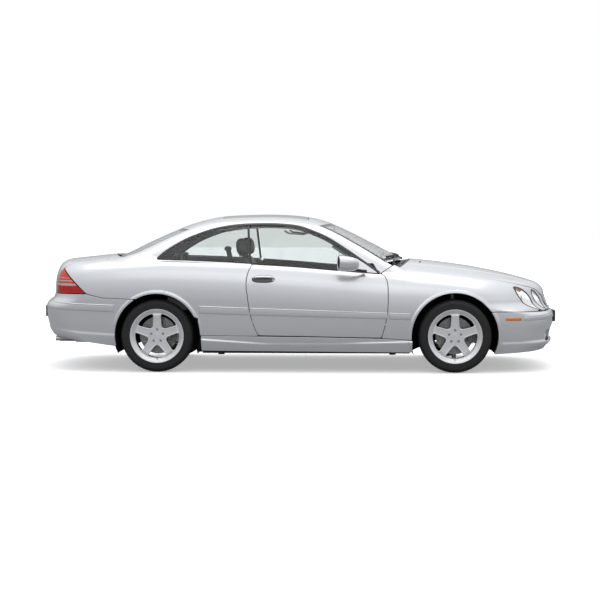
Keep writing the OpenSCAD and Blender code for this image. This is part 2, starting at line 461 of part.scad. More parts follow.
module rear_suspension() color(steel) union() {
    plate(-1400, -1180, 380, 210, 262);
    plate(-1390, -1190, 150, 262, 330);
    both() {
        translate([rear_axle, 374, 236]) wheel_axis() cylinder(r = 22, h = 290, $fn = 24);
        translate([rear_axle-32, 630, 206]) cube([64, 96, 190]);
        translate([rear_axle, 140, 300]) rotate([-87, 0, 0]) cylinder(r = 20, h = 505, $fn = 24);
        // spindle in the hub
        translate([rear_axle, 716, axle_z]) wheel_axis() cylinder(r = 24, h = 84, $fn = 48);
        // caliper over the disc
        translate([rear_axle + disc_r - 44, 718, axle_z - 55]) cube([78, 25, 110]);
        translate([rear_axle + disc_r + 6, 740, axle_z - 55]) cube([27, 44, 110]);
        translate([rear_axle + disc_r - 44, 779, axle_z - 55]) cube([78, 18, 110]);
        translate([rear_axle, 718, axle_z - 22]) cube([disc_r, 20, 44]);
    }
}

module knuckle() color(steel) union() {
    // upright on the kingpin line, spindle, steering arm and caliper
    translate([front_axle, kingpin_y, 160]) cylinder(r = 20, h = 34, $fn = 32);
    translate([front_axle-30, 690, 184]) cube([60, 46, 306]);
    translate([front_axle, kingpin_y, 480]) cylinder(r = 20, h = 32, $fn = 32);
    translate([front_axle, 716, axle_z]) wheel_axis() cylinder(r = 24, h = 84, $fn = 48);
    translate([front_axle-150, 690, 262]) cube([140, 28, 24]);
    translate([front_axle + disc_r - 44, 718, axle_z - 55]) cube([78, 25, 110]);
        translate([front_axle + disc_r + 6, 740, axle_z - 55]) cube([27, 44, 110]);
        translate([front_axle + disc_r - 44, 779, axle_z - 55]) cube([78, 18, 110]);
        translate([front_axle, 718, axle_z - 22]) cube([disc_r, 20, 44]);
}

module right_knuckle() mirror([0, 1, 0]) knuckle();
module left_knuckle() knuckle();

module arch_liners() color(dark) both() {
    // curved liners over the wheels, open towards the wheel
    for (w = [[front_axle, 412, 488], [rear_axle, 404, 566]]) translate([w[0], w[2], axle_z]) wheel_axis() difference() {
        cylinder(r = w[1]+8, h = 806-w[2], $fn = 64);
        translate([0, 0, -1]) cylinder(r = w[1], h = 900, $fn = 64);
        translate([-600, -10, -1]) cube([1200, 700, 900]);
    }
}

module exhaust() color(steel) union() {
    translate([-2120, -420, 236]) cube([380, 840, 98]);
    both() translate([-2290, 330, 268]) rotate([0, 90, 0]) difference() {
        cylinder(r = 30, h = 180, $fn = 40);
        translate([0, 0, -1]) cylinder(r = 26, h = 150, $fn = 40);
    }
    both() translate([-1750, 300, 284]) rotate([0, 90, 0]) cylinder(r = 28, h = 300, $fn = 32);
}

// ---- interior -------------------------------------------------------------
module dashboard() color(trim) {
    hull() {
        translate([620, -680, 700]) rotate([-90, 0, 0]) cylinder(r = 40, h = 1360, $fn = 32);
        translate([660, -680, 862]) rotate([-90, 0, 0]) cylinder(r = 30, h = 1360, $fn = 32);
        translate([860, -680, 880]) rotate([-90, 0, 0]) cylinder(r = 18, h = 1360, $fn = 32);
        translate([860, -680, 700]) rotate([-90, 0, 0]) cylinder(r = 40, h = 1360, $fn = 32);
    }
    // console between the seats, and the stack that rises to the dashboard
    translate([-420, -98, 332]) cube([978, 196, 210]);
    translate([560, -98, 332]) cube([100, 196, 326]);
}

module front_seats() color(trim) both() {
    translate([-300, 150, 199]) cube([420, 440, 60]);
    hull() {
        for (x = [-300, 150]) translate([x, 370-seat_w/2, 330]) rotate([-90, 0, 0]) cylinder(r = 70, h = seat_w, $fn = 32);
        translate([150, 370-seat_w/2, 400]) rotate([-90, 0, 0]) cylinder(r = 50, h = seat_w, $fn = 32);
    }
    hull() {
        translate([-345, 370-seat_w/2+10, 470]) rotate([-90, 0, 0]) cylinder(r = 66, h = seat_w-20, $fn = 32);
        translate([-545, 370-seat_w/2+50, 1010]) rotate([-90, 0, 0]) cylinder(r = 45, h = seat_w-100, $fn = 32);
    }
    hull() {
        translate([-560, 260, 1105]) rotate([-90, 0, 0]) cylinder(r = 45, h = 220, $fn = 32);
        translate([-575, 275, 1185]) rotate([-90, 0, 0]) cylinder(r = 38, h = 190, $fn = 32);
    }
    for (y = [320, 420]) translate([-552, y, 1030]) cylinder(r = 7, h = 60, $fn = 16);
}

module rear_seat() color(trim) {
    hull() for (x = [-1000, -700]) translate([x, -560, 440]) rotate([-90, 0, 0]) cylinder(r = 60, h = 1120, $fn = 32);
    hull() {
        translate([-1020, -560, 540]) rotate([-90, 0, 0]) cylinder(r = 60, h = 1120, $fn = 32);
        translate([-1130, -540, 900]) rotate([-90, 0, 0]) cylinder(r = 40, h = 1080, $fn = 32);
    }
    translate([-980, -440, 372]) cube([300, 880, 20]);
    // parcel shelf behind the backrest
    translate([-1640, -540, 915]) cube([480, 1080, 20]);
    for (y = [-380, 160]) hull() {
        translate([-1150, y, 990]) rotate([-90, 0, 0]) cylinder(r = 34, h = 220, $fn = 32);
        translate([-1160, y+15, 1050]) rotate([-90, 0, 0]) cylinder(r = 28, h = 190, $fn = 32);
    }
    for (y = [-270, 270]) translate([-1148, y, 930]) cylinder(r = 10, h = 60, $fn = 16);
}

module steering_wheel() color(dark) translate([330, 370, 790]) rotate([0, 115, 0]) union() {
    rotate_extrude($fn = 64) translate([steering_d/2-15, 0]) circle(15, $fn = 24);
    translate([0, 0, -14]) cylinder(r = 70, h = 34, $fn = 48);
    for (a = [0, 120, 240]) rotate(a - 30) translate([40, -16, -7]) cube([steering_d/2-60, 32, 14]);
    cylinder(r = 24, h = 225, $fn = 32);
}

// ---- wheels ---------------------------------------------------------------
// each wheel is drawn about its own axis, outer face towards +Z of the profile
module at_wheel(x, s) translate([x, s*track_half, axle_z]) rotate([-90*s, 0, 0]) children();
module tyre() color(dark) rotate_extrude($fn = 96) polygon([[241, -tyre_w/2+18], [262, -tyre_w/2+4], [290, -tyre_w/2], [315, -tyre_w/2+8], [328, -tyre_w/2+22],
    [tyre_r, -tyre_w/2+50], [tyre_r, tyre_w/2-50], [328, tyre_w/2-22], [315, tyre_w/2-8], [290, tyre_w/2], [262, tyre_w/2-4], [241, tyre_w/2-18]]);
module rim() color([0.75, 0.76, 0.78]) union() {
    rotate_extrude($fn = 96) polygon([[240.5, -99], [249, -106], [249, -112], [232, -112], [218, -90], [218, 96], [232, 112], [249, 112], [249, 106],
        [240.5, 99], [230, 70], [230, -70]]);
    // hub and flat spokes
    difference() {
        translate([0, 0, 40]) cylinder(r = 82, h = 36, $fn = 48);
        for (a = [0:spokes-1]) rotate(a*360/spokes + 90) translate([57, 0, 62]) cylinder(r = 14, h = 40, $fn = 24);
    }
    for (a = [0:spokes-1]) rotate(a*360/spokes + 90) translate([60, 0, 46])
        linear_extrude(34) polygon([[0, -44], [60, -40], [162, -37], [162, 37], [60, 40], [0, 44]]);
}

module disc() color(steel) difference() {
    union() {
        translate([0, 0, -36]) cylinder(r = disc_r, h = 26, $fn = 64);
        translate([0, 0, -28]) cylinder(r = 80, h = 64, $fn = 48);
    }
    translate([0, 0, -60]) cylinder(r = 24.05, h = 84, $fn = 48);
}

module front_right_tyre() at_wheel(front_axle, -1) tyre();
module front_left_tyre() at_wheel(front_axle, 1) tyre();
module rear_right_tyre() at_wheel(rear_axle, -1) tyre();
module rear_left_tyre() at_wheel(rear_axle, 1) tyre();
module front_right_rim() at_wheel(front_axle, -1) rim();
module front_left_rim() at_wheel(front_axle, 1) rim();
module rear_right_rim() at_wheel(rear_axle, -1) rim();
module rear_left_rim() at_wheel(rear_axle, 1) rim();
module front_right_disc() at_wheel(front_axle, -1) disc();
module front_left_disc() at_wheel(front_axle, 1) disc();
module rear_right_disc() at_wheel(rear_axle, -1) disc();
module rear_left_disc() at_wheel(rear_axle, 1) disc();

floor_pan();
body_structure();
body_sides();
rear_shelf();
roof_panel();
sunroof();
front_fenders();
front_bumper();
rear_bumper();
side_sills();
windshield();
rear_window();
quarter_glass();
headlamps();
tail_lamps();
cowl();
plate_carriers();
engine();
dashboard();
front_seats();
rear_seat();
exhaust();
front_suspension();
rear_suspension();
arch_liners();
right_door();
left_door();
right_door_glass();
left_door_glass();
right_mirror();
left_mirror();
hood();
grille();
trunk_lid();
right_knuckle();
left_knuckle();
front_right_tyre();
front_left_tyre();
rear_right_tyre();
rear_left_tyre();
front_right_rim();
front_left_rim();
rear_right_rim();
rear_left_rim();
front_right_disc();
front_left_disc();
rear_right_disc();
rear_left_disc();
steering_wheel();
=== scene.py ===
import bpy, bmesh, math
import numpy as np
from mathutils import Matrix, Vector


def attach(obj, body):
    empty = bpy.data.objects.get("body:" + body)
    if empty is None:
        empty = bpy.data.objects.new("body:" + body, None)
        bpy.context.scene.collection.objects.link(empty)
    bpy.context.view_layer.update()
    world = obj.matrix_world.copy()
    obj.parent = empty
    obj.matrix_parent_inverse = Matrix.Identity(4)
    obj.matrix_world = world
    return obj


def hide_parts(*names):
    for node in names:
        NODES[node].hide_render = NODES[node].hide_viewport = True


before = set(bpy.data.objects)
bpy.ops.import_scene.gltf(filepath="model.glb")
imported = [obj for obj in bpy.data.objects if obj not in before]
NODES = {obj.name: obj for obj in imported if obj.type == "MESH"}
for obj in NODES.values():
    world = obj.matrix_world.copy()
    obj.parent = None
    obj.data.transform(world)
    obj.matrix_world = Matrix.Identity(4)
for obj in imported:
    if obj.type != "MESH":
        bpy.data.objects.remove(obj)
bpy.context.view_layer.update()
rng = np.random.default_rng(7)
FA, RA, AZ, TR = 1447.0, -1283.0, 335.0, 335.0
TRACK = 784.0
KING = 712.0

# ---------------------------------------------------------------- curves
def herm(p, n=20):
    p = np.array(p, float)
    x, y = p[:, 0], p[:, 1]
    s = np.diff(y) / np.diff(x)
    m = np.concatenate([[s[0]], (s[:-1] + s[1:]) / 2, [s[-1]]])
    X, Y = [], []
    for i in range(len(x) - 1):
        t = np.arange(n) / n
        h = x[i+1] - x[i]
        X.append(x[i] + t*h)
        a, b = m[i]*h, m[i+1]*h
        Y.append(y[i] + t*(a + t*(3*(y[i+1]-y[i]) - 2*a - b + t*(2*(y[i]-y[i+1]) + a + b))))
    X.append([x[-1]]); Y.append([y[-1]])
    return np.concatenate(X), np.concatenate(Y)

def T(t, x):
    return np.interp(x, t[0], t[1])

WP = herm([[-2450, 700], [-2300, 800], [-2100, 852], [-1800, 888], [-1283, 915], [-600, 925], [0, 928],
    [600, 926], [1000, 921], [1447, 908], [1800, 884], [2050, 850], [2250, 800], [2450, 700]])
ZB = herm([[-2450, 985], [-2300, 992], [-1900, 1012], [-1560, 1028], [-1236, 1030], [-899, 1021], [-411, 995], [3, 966],
    [400, 933], [753, 903], [1100, 885], [1447, 862], [1800, 815], [2100, 755], [2450, 680]])
DU = herm([[-420, 0], [-330, -3], [-230, -12], [-150, -25], [-90, -42], [-40, -66], [0, -94], [60, -142], [300, -300]])
DL = herm([[100, -75], [190, -48], [300, -20], [420, -5], [560, 0], [1500, 0]])
ZC = herm([[-2450, 995], [-2300, 1014], [-2130, 1034], [-1960, 1052], [-1767, 1072], [-1400, 1075], [-600, 1060], [300, 1040],
    [1081, 1018], [1243, 1003], [1450, 978], [1656, 948], [1833, 914], [1987, 881], [2143, 840], [2292, 792], [2450, 725]])
ZD = herm([[-2450, 70], [-1800, 62], [-1200, 55], [0, 70], [700, 105], [1100, 105], [1600, 105], [2000, 100], [2450, 100]])
XF = herm([[100, 2200], [160, 2285], [190, 2340], [217, 2362], [246, 2392], [271, 2408], [300, 2402], [345, 2404], [385, 2412],
    [430, 2428], [483, 2430], [519, 2426], [547, 2414], [562, 2404], [600, 2388], [650, 2371], [700, 2354], [731, 2343],
    [790, 2322], [1100, 2200]])
XA = herm([[100, 90], [300, 85], [480, 82], [545, 96], [580, 190], [620, 236], [670, 246], [760, 262], [900, 300], [1100, 320]])
XR = herm([[100, -2100], [190, -2170], [240, -2230], [286, -2290], [326, -2360], [378, -2396], [444, -2418], [517, -2430],
    [570, -2430], [616, -2416], [643, -2392], [670, -2368], [709, -2354], [808, -2350], [880, -2339], [950, -2314], [993, -2296],
    [1100, -2230]])
XB = herm([[100, 90], [400, 84], [600, 84], [680, 90], [800, 95], [1000, 110], [1100, 120]])
GW = herm([[-2000, 640], [-1700, 700], [-1400, 752], [-1236, 775], [-900, 802], [-400, 818], [3, 824], [400, 826], [753, 820], [1100, 790]])
ZR = herm([[-1900, 960], [-1500, 1200], [-1300, 1290], [-1153, 1342], [-985, 1391], [-818, 1420], [-650, 1437], [-427, 1446], [-259, 1448],
    [-26, 1437], [179, 1408], [321, 1376], [480, 1325], [800, 1190]])
XW = herm([[850, 1320], [960, 1118], [1049, 947], [1120, 812], [1198, 659], [1290, 482], [1371, 321], [1500, 60]])
XQ = herm([[850, -2300], [1000, -1950], [1067, -1775], [1100, -1668], [1217, -1405], [1336, -1150], [1450, -860]])
KT = (np.array([-2450, -2200, -1700, -1200, 800, 1100, 1900, 2250, 2450.]), np.array([60, 70, 90, 40, 40, 100, 110, 60, 50.]))
KU = (np.array([-2450, -1350, -1150, 1200.]), np.array([60, 60, 10, 10.]))

def smin(a, b, k):
    h = np.maximum(k - np.abs(a-b), 0) / k
    return np.minimum(a, b) - h*h*k/4
def smax(a, b, k):
    return -smin(-a, -b, k)
def sstep(a, b, x):
    t = np.clip((x-a)/(b-a), 0, 1)
    return t*t*(3-2*t)
def low(x, y, z):
    w = T(WP, x) + T(DU, z - T(ZB, x)) + T(DL, z)
    e = np.where(x > 0, T(XF, z) - T(XA, z)*y*y/360000 - x, x - T(XR, z) - T(XB, z)*y*y/360000)
    return smin(smin(w - y, e, 190.0), T(ZC, x) - T(ZD, x)*y*y/640000 - z, T(KT, x))
def top(x, y, z):
    t = np.maximum(z - T(ZB, x), 0)
    g = T(GW, x) - 0.47*t - 0.00022*t*t
    e = np.where(x > -300, 0.46*(T(XW, z) - 0.00034*y*y - x), 0.42*(x - T(XQ, z) - 0.0004*y*y))
    return smin(smin(g - y, T(ZR, x) - 0.000165*y*y - z, 70.0), e, np.where(x > -300, 55.0, 90.0))
def arch_d(x, z):
    df = np.hypot(x-FA, z-AZ) - 397.0
    dr = np.hypot(x-RA, z-AZ) - 388.0
    return df, dr
def detail(x, y, z):
    # raised lips round the wheel arches
    df, dr = arch_d(x, z)
    side = sstep(760, 840, y)
    lip = 6.0*(1 - sstep(16, 34, np.minimum(np.abs(df), np.abs(dr))))*side*(z > 200)
    # the sill crease and the bumper lips are shaped in F_sill, F_fb and F_rb, not here
    return lip
def Fb(x, y, z):
    y = np.abs(y)
    return smax(low(x, y, z), top(x, y, z), T(KU, x)) + detail(x, y, z)
def Flow(x, y, z):
    y = np.abs(y)
    return low(x, y, z) + detail(x, y, z)
def Ftop(x, y, z):
    return top(x, np.abs(y), z)

def grad(F, P, h=0.6):
    g = np.empty_like(P)
    for k in range(3):
        a = P.copy(); b = P.copy()
        a[..., k] += h; b[..., k] -= h
        g[..., k] = (F(a[..., 0], a[..., 1], a[..., 2]) - F(b[..., 0], b[..., 1], b[..., 2])) / (2*h)
    return g
def unit(v):
    return v / np.maximum(np.linalg.norm(v, axis=-1, keepdims=True), 1e-9)

def solve(F, O, D, a, b, level=0.0, n=26):
    a = np.full(O.shape[:-1], float(a)); b = np.full(O.shape[:-1], float(b))
    for _ in range(n):
        m = (a+b)/2
        P = O + D*m[..., None]
        inside = F(P[..., 0], P[..., 1], P[..., 2]) > level
        a = np.where(inside, m, a); b = np.where(inside, b, m)
    return O + D*((a+b)/2)[..., None]

# ---------------------------------------------------------------- charts: (u, v) arrays -> points
def chart_side(F=None, level=0.0, s=1):
    F = F or Flow
    def c(u, v):
        O = np.stack([u, np.zeros_like(u), v], -1)
        D = np.zeros_like(O); D[..., 1] = s
        return solve(F, O, D, 200, 1100, level)
    return c
def chart_top(F=None, level=0.0, lo=500):
    F = F or Fb
    def c(u, v):
        O = np.stack([u, v, np.zeros_like(u)], -1)
        D = np.zeros_like(O); D[..., 2] = 1
        return solve(F, O, D, lo, 1600, level)
    return c
def chart_tail(F=None, level=0.0):
    F = F or Flow
    def c(u, v):                       # u = y, v = angle in degrees
        a = np.radians(v)
        O = np.stack([np.full_like(u, -1800.), u, np.full_like(u, 700.)], -1)
        D = np.stack([-np.sin(a), np.zeros_like(u), np.cos(a)], -1)
        return solve(F, O, D, 100, 900, level)
    return c
def chart_front(F=None, level=0.0, x0=1500.0, s=1):
    F = F or Flow
    def c(u, v):                       # u = y, v = z
        O = np.stack([np.full_like(u, x0), u, v], -1)
        D = np.zeros_like(O); D[..., 0] = s
        return solve(F, O, D, 100, 1200, level)
    return c
# the capsule chart: u is mm along the middle, then degrees*15 round each end
XN, XT = 1543.0, -1500.0
def chart_caps(F=None, zc=550.0, level=0.0, s=1):
    F = F or Fb
    def c(u, v):
        xo = np.clip(u, XT, XN)
        psi = np.where(u > XN, 90 - (u-XN)/15.0, np.where(u < XT, 90 + (XT-u)/15.0, 90.0))
        p = np.radians(psi); e = np.radians(v)
        O = np.stack([xo, np.zeros_like(u), np.full_like(u, zc)], -1)
        D = np.stack([np.cos(p)*np.cos(e), s*np.sin(p)*np.cos(e), np.sin(e)], -1)
        return solve(F, O, D, 150, 1500, level)
    return c

# ---------------------------------------------------------------- outlines
def smooth_line(p, n=8, closed=False):
    p = np.array(p, float)
    q = np.vstack([p[-1:], p, p[:2]]) if closed else np.vstack([2*p[0]-p[1], p, 2*p[-1]-p[-2]])
    out = []
    for i in range(1, len(q)-2):
        p0, p1, p2, p3 = q[i-1], q[i], q[i+1], q[i+2]
        d1 = (p2-p0)/2; d2 = (p3-p1)/2
        L = np.linalg.norm(p2-p1)
        for d in (d1, d2):
            k = np.linalg.norm(d)
            if k > L: d *= L/k
        for t in np.arange(n)/n:
            out.append((2*t**3-3*t*t+1)*p1 + (t**3-2*t*t+t)*d1 + (3*t*t-2*t**3)*p2 + (t**3-t*t)*d2)
    if not closed: out.append(q[-2])
    return np.array(out)
def sdf(poly, x, z):
    """signed distance to a closed polygon, positive inside"""
    poly = np.asarray(poly, float)
    sh = x.shape; x = x.ravel(); z = z.ravel()
    best = np.full(x.shape, 1e18); ins = np.zeros(x.shape, bool)
    a = poly; b = np.roll(poly, -1, 0)
    for (ax, az), (bx, bz) in zip(a, b):
        dx, dz = bx-ax, bz-az
        L = dx*dx+dz*dz
        if L < 1e-12: continue
        t = np.clip(((x-ax)*dx + (z-az)*dz)/L, 0, 1)
        best = np.minimum(best, (x-ax-t*dx)**2 + (z-az-t*dz)**2)
        c = (az > z) != (bz > z)
        if abs(dz) > 1e-12:
            ins ^= c & (x < ax + (z-az)*dx/dz)
    d = np.sqrt(best)
    return np.where(ins, d, -d).reshape(sh)

# ---------------------------------------------------------------- mesh building
def make(name, V, faces, mats, body, slot=None, normals=None, idx=None, smooth=True, node=None):
    me = bpy.data.meshes.new(name)
    me.from_pydata((np.asarray(V, float)*0.001).tolist(), [], [list(map(int, f)) for f in faces])
    if not isinstance(mats, (list, tuple)): mats = [mats]
    for m in mats: me.materials.append(m)
    if idx is not None:
        me.polygons.foreach_set("material_index", np.asarray(idx, np.int32))
    if smooth:
        me.polygons.foreach_set("use_smooth", np.ones(len(me.polygons), bool))
    me.update()
    if normals is not None:
        me.normals_split_custom_set_from_vertices(unit(np.asarray(normals, float)).tolist())
    ob = bpy.data.objects.new(name, me)
    bpy.context.scene.collection.objects.link(ob)
    if body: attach(ob, body)
    if node:
        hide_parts(*( [node] if isinstance(node, str) else node))
    return ob

def weld(V, faces):
    k = np.round(V, 3)
    _, first, inv = np.unique(k, axis=0, return_index=True, return_inverse=True)
    inv = inv.ravel()
    out = []
    for f in faces:
        q = [int(inv[i]) for i in f]
        q = [a for j, a in enumerate(q) if a != q[j-1]]
        if len(q) >= 3: out.append(q)
    return V[first], out

def trim(chart, us, vs, g=None):
    """grid of the chart cut along g = 0; returns points, faces"""
    U, W = np.meshgrid(np.asarray(us, float), np.asarray(vs, float), indexing="ij")
    P = chart(U, W)
    n, m = U.shape
    if g is None:
        G = np.ones((n, m))
    else:
        G = g(P)
    G = np.where(np.abs(G) < 1e-6, 1e-6, G)
    ins = G > 0
    vid = -np.ones((n, m), int)
    vid[ins] = np.arange(ins.sum())
    V = [P[ins]]
    cnt = int(ins.sum())
    def cross(i0, j0, i1, j1):
        nonlocal cnt
        if len(i0) == 0: return {}
        u0, u1, w0, w1 = U[i0, j0], U[i1, j1], W[i0, j0], W[i1, j1]
        a = np.zeros(len(i0)); b = np.ones(len(i0)); ga = G[i0, j0].copy(); gb = G[i1, j1].copy()
        for _ in range(4):
            t = a + (b-a)*np.clip(ga/(ga-gb), 0.03, 0.97)
            Q = chart(u0+(u1-u0)*t, w0+(w1-w0)*t)
            gt = g(Q)
            same = (gt > 0) == (ga > 0)
            a = np.where(same, t, a); ga = np.where(same, gt, ga)
            b = np.where(same, b, t); gb = np.where(same, gb, gt)
        t = a + (b-a)*np.clip(ga/(ga-gb), 0, 1)
        Q = chart(u0+(u1-u0)*t, w0+(w1-w0)*t)
        V.append(Q)
        d = {(int(p), int(q)): cnt+k for k, (p, q) in enumerate(zip(i0, j0))}
        cnt += len(Q)
        return d
    hi, hj = np.nonzero(ins[:-1] != ins[1:])
    H = cross(hi, hj, hi+1, hj)
    wi, wj = np.nonzero(ins[:, :-1] != ins[:, 1:])
    Wd = cross(wi, wj, wi, wj+1)
    faces = []
    c = ins[:-1, :-1].astype(int) + ins[1:, :-1] + ins[1:, 1:] + ins[:-1, 1:]
    fi, fj = np.nonzero(c == 4)
    faces += np.stack([vid[fi, fj], vid[fi+1, fj], vid[fi+1, fj+1], vid[fi, fj+1]], 1).tolist()
    pi, pj = np.nonzero((c > 0) & (c < 4))
    for i, j in zip(pi.tolist(), pj.tolist()):
        cor = [(i, j), (i+1, j), (i+1, j+1), (i, j+1)]
        ed = [("h", i, j), ("w", i+1, j), ("h", i, j+1), ("w", i, j)]
        f = []
        for k in range(4):
            a, b = cor[k], cor[(k+1) % 4]
            if ins[a]: f.append(int(vid[a]))
            if ins[a] != ins[b]:
                t, p, q = ed[k]
                f.append((H if t == "h" else Wd)[(p, q)])
        if len(f) >= 3: faces.append(f)
    return np.concatenate(V), faces

def rim_edges(faces):
    seen = {}
    for f in faces:
        for k in range(len(f)):
            a, b = f[k], f[(k+1) % len(f)]
            if (b, a) in seen: del seen[(b, a)]
            else: seen[(a, b)] = 1
    return list(seen)

def panel(name, chart, us, vs, g, F, mat, body, slot=None, depth=20.0, r=3.0, node=None, back=None, inset=0.0, dvec=None, bands=None, extra=(), relief=None, wrap=False):
    """a trimmed skin with a rounded edge, a return flange and, if back is given, a closed inner face"""
    V, faces = trim(chart, us, vs, g)
    if wrap: V, faces = weld(V, faces)
    N = -unit(grad(F, V))
    faces = [list(f) for f in faces]
    f0 = faces[len(faces)//2]
    p = V[f0[:3]]
    if np.dot(np.cross(p[1]-p[0], p[2]-p[0]), N[f0[0]]) < 0:
        faces = [f[::-1] for f in faces]
    if relief is not None:
        V = V + N*relief(V)[:, None]
    if inset: V = V - N*inset
    nf = len(faces)
    E = rim_edges(faces)
    bv = sorted({a for e in E for a in e})
    pos = {a: k for k, a in enumerate(bv)}
    B, NB = V[bv], N[bv]
    tdir = np.zeros_like(B)
    for a, b in E:
        o = np.cross(V[b]-V[a], N[a])
        tdir[pos[a]] += o; tdir[pos[b]] += o
    tdir -= NB*np.sum(tdir*NB, -1, keepdims=True)
    tdir = unit(tdir)
    if dvec is None: DB, DV = NB*depth, N*depth
    else:
        d = np.array(dvec, float)*depth
        DB, DV = np.broadcast_to(d, B.shape), np.broadcast_to(d, V.shape)
    rings = [np.array(bv)]
    Vs, Ns = [V], [N]
    cnt = len(V)
    for ang in ([30, 60, 90] if r > 0 else []):
        a = math.radians(ang)
        Vs.append(B + tdir*r*math.sin(a) - NB*r*(1-math.cos(a)))
        Ns.append(NB*math.cos(a) + tdir*math.sin(a))
        rings.append(np.arange(cnt, cnt+len(bv))); cnt += len(bv)
    Vs.append(B + tdir*r - DB); Ns.append(tdir)
    rings.append(np.arange(cnt, cnt+len(bv))); cnt += len(bv)
    if back is not None:
        off = cnt
        Vs.append(V - DV); Ns.append(-N); cnt += len(V)
        rings.append(np.array([off + a for a in bv]))
    for k in range(len(rings)-1):
        A, C = rings[k], rings[k+1]
        for a, b in E:
            faces.append([int(A[pos[b]]), int(A[pos[a]]), int(C[pos[a]]), int(C[pos[b]])])
    mats = [mat] + list(extra)
    idx = np.zeros(len(faces), int)
    if bands is not None:
        C = np.array([np.mean(V[f], 0) for f in faces[:nf]])
        idx[:nf] = bands(C)
    if back is not None:
        start = len(faces)
        faces += [[off+i for i in f[::-1]] for f in faces[:nf]]
        idx = np.concatenate([idx, np.full(nf, len(mats))])
        mats.append(back)
    return make(name, np.concatenate(Vs), faces, mats, body, slot, np.concatenate(Ns), idx, node=node)

def relief(name, chart, U, W, H, F, mat, body, slot=None, node=None, closed_u=False, idx=None, extra=(), flip=None):
    """a moulding laid on the surface: rows of chart coordinates and heights above the skin"""
    U, W = np.asarray(U, float), np.asarray(W, float)
    P = chart(U, W)
    N = -unit(grad(F, P))
    H = np.broadcast_to(np.asarray(H, float), U.shape)
    V = P + N*H[..., None]
    n, m = U.shape
    faces = []
    top_i = n if closed_u else n-1
    for i in range(top_i):
        for j in range(m-1):
            a, b = i*m+j, ((i+1) % n)*m+j
            faces.append([a, b, b+1, a+1])
    V = V.reshape(-1, 3); N = N.reshape(-1, 3)
    f0 = faces[len(faces)//2]; p = V[f0[:3]]
    if np.dot(np.cross(p[1]-p[0], p[2]-p[0]), N[f0[0]]) < 0:
        faces = [f[::-1] for f in faces]
    ids = None
    if idx is not None:
        ids = np.array([idx(i, j) for i in range(top_i) for j in range(m-1)], int)
    return make(name, V, faces, [mat]+list(extra), body, slot, None, ids, node=node)

def path_rows(path, offs, closed=False):
    """rows across a path in chart coordinates, at the given offsets to its left"""
    P = np.asarray(path, float)
    if closed:
        t = np.roll(P, -1, 0) - np.roll(P, 1, 0)
    else:
        t = np.gradient(P, axis=0)
    t /= np.linalg.norm(t, axis=1)[:, None]
    nrm = np.stack([-t[:, 1], t[:, 0]], 1)
    Q = P[:, None, :] + nrm[:, None, :]*np.asarray(offs, float)[None, :, None]
    return Q[..., 0], Q[..., 1]

# ---------------------------------------------------------------- materials
def new_mat(name):
    m = bpy.data.materials.new(name)
    m.use_nodes = True
    return m, m.node_tree, m.node_tree.nodes["Principled BSDF"]

def procedural(name, c, rough, metal=0.0, coat=0.0, vary=0.05, scale=60.0, detail=4.0, rvary=0.06, bump=0.15, bscale=900.0, bdist=0.0002, spec=0.5, aniso=0.0, c2=None, emit=None, kind="noise"):
    m, t, b = new_mat(name)
    N, L = t.nodes, t.links
    co = N.new("ShaderNodeTexCoord")
    n1 = N.new("ShaderNodeTexNoise"); n1.inputs["Scale"].default_value = scale; n1.inputs["Detail"].default_value = detail
    L.new(co.outputs["Object"], n1.inputs["Vector"])
    ramp = N.new("ShaderNodeValToRGB")
    c = np.array(c, float)
    lo = c*(1-vary); hi = np.minimum(c*(1+vary), 1.0) if c2 is None else np.array(c2, float)
    ramp.color_ramp.elements[0].position = 0.35; ramp.color_ramp.elements[1].position = 0.65
    ramp.color_ramp.elements[0].color = (*lo, 1); ramp.color_ramp.elements[1].color = (*hi, 1)
    L.new(n1.outputs["Fac"], ramp.inputs["Fac"]); L.new(ramp.outputs["Color"], b.inputs["Base Color"])
    n2 = N.new("ShaderNodeTexNoise"); n2.inputs["Scale"].default_value = scale*2.3; n2.inputs["Detail"].default_value = 3
    L.new(co.outputs["Object"], n2.inputs["Vector"])
    mr = N.new("ShaderNodeMapRange"); mr.inputs["To Min"].default_value = max(rough-rvary, 0.01); mr.inputs["To Max"].default_value = min(rough+rvary, 1)
    L.new(n2.outputs["Fac"], mr.inputs["Value"]); L.new(mr.outputs["Result"], b.inputs["Roughness"])
    if bump > 0:
        if kind == "voronoi":
            n3 = N.new("ShaderNodeTexVoronoi"); n3.inputs["Scale"].default_value = bscale; o = n3.outputs["Distance"]
        elif kind == "wave":
            n3 = N.new("ShaderNodeTexWave"); n3.inputs["Scale"].default_value = bscale; n3.inputs["Distortion"].default_value = 0.4; o = n3.outputs["Fac"]
        else:
            n3 = N.new("ShaderNodeTexNoise"); n3.inputs["Scale"].default_value = bscale; n3.inputs["Detail"].default_value = 3; o = n3.outputs["Fac"]
        L.new(co.outputs["Object"], n3.inputs["Vector"])
        bp = N.new("ShaderNodeBump"); bp.inputs["Strength"].default_value = bump; bp.inputs["Distance"].default_value = bdist
        L.new(o, bp.inputs["Height"]); L.new(bp.outputs["Normal"], b.inputs["Normal"])
    b.inputs["Metallic"].default_value = metal
    b.inputs["Coat Weight"].default_value = coat
    b.inputs["Coat Roughness"].default_value = 0.03
    b.inputs["Specular IOR Level"].default_value = spec
    if emit: b.inputs["Emission Color"].default_value = (*emit[0], 1); b.inputs["Emission Strength"].default_value = emit[1]
    return m

def glassy(name, c, rough=0.01, ior=1.45, vary=0.02, scale=8.0, trans=1.0, metal=0.0):
    m = procedural(name, c, rough, vary=vary, scale=scale, rvary=0.006, bump=0.03, bscale=14.0, bdist=0.0006)
    b = m.node_tree.nodes["Principled BSDF"]
    b.inputs["Transmission Weight"].default_value = trans
    b.inputs["IOR"].default_value = ior
    b.inputs["Metallic"].default_value = metal
    return m

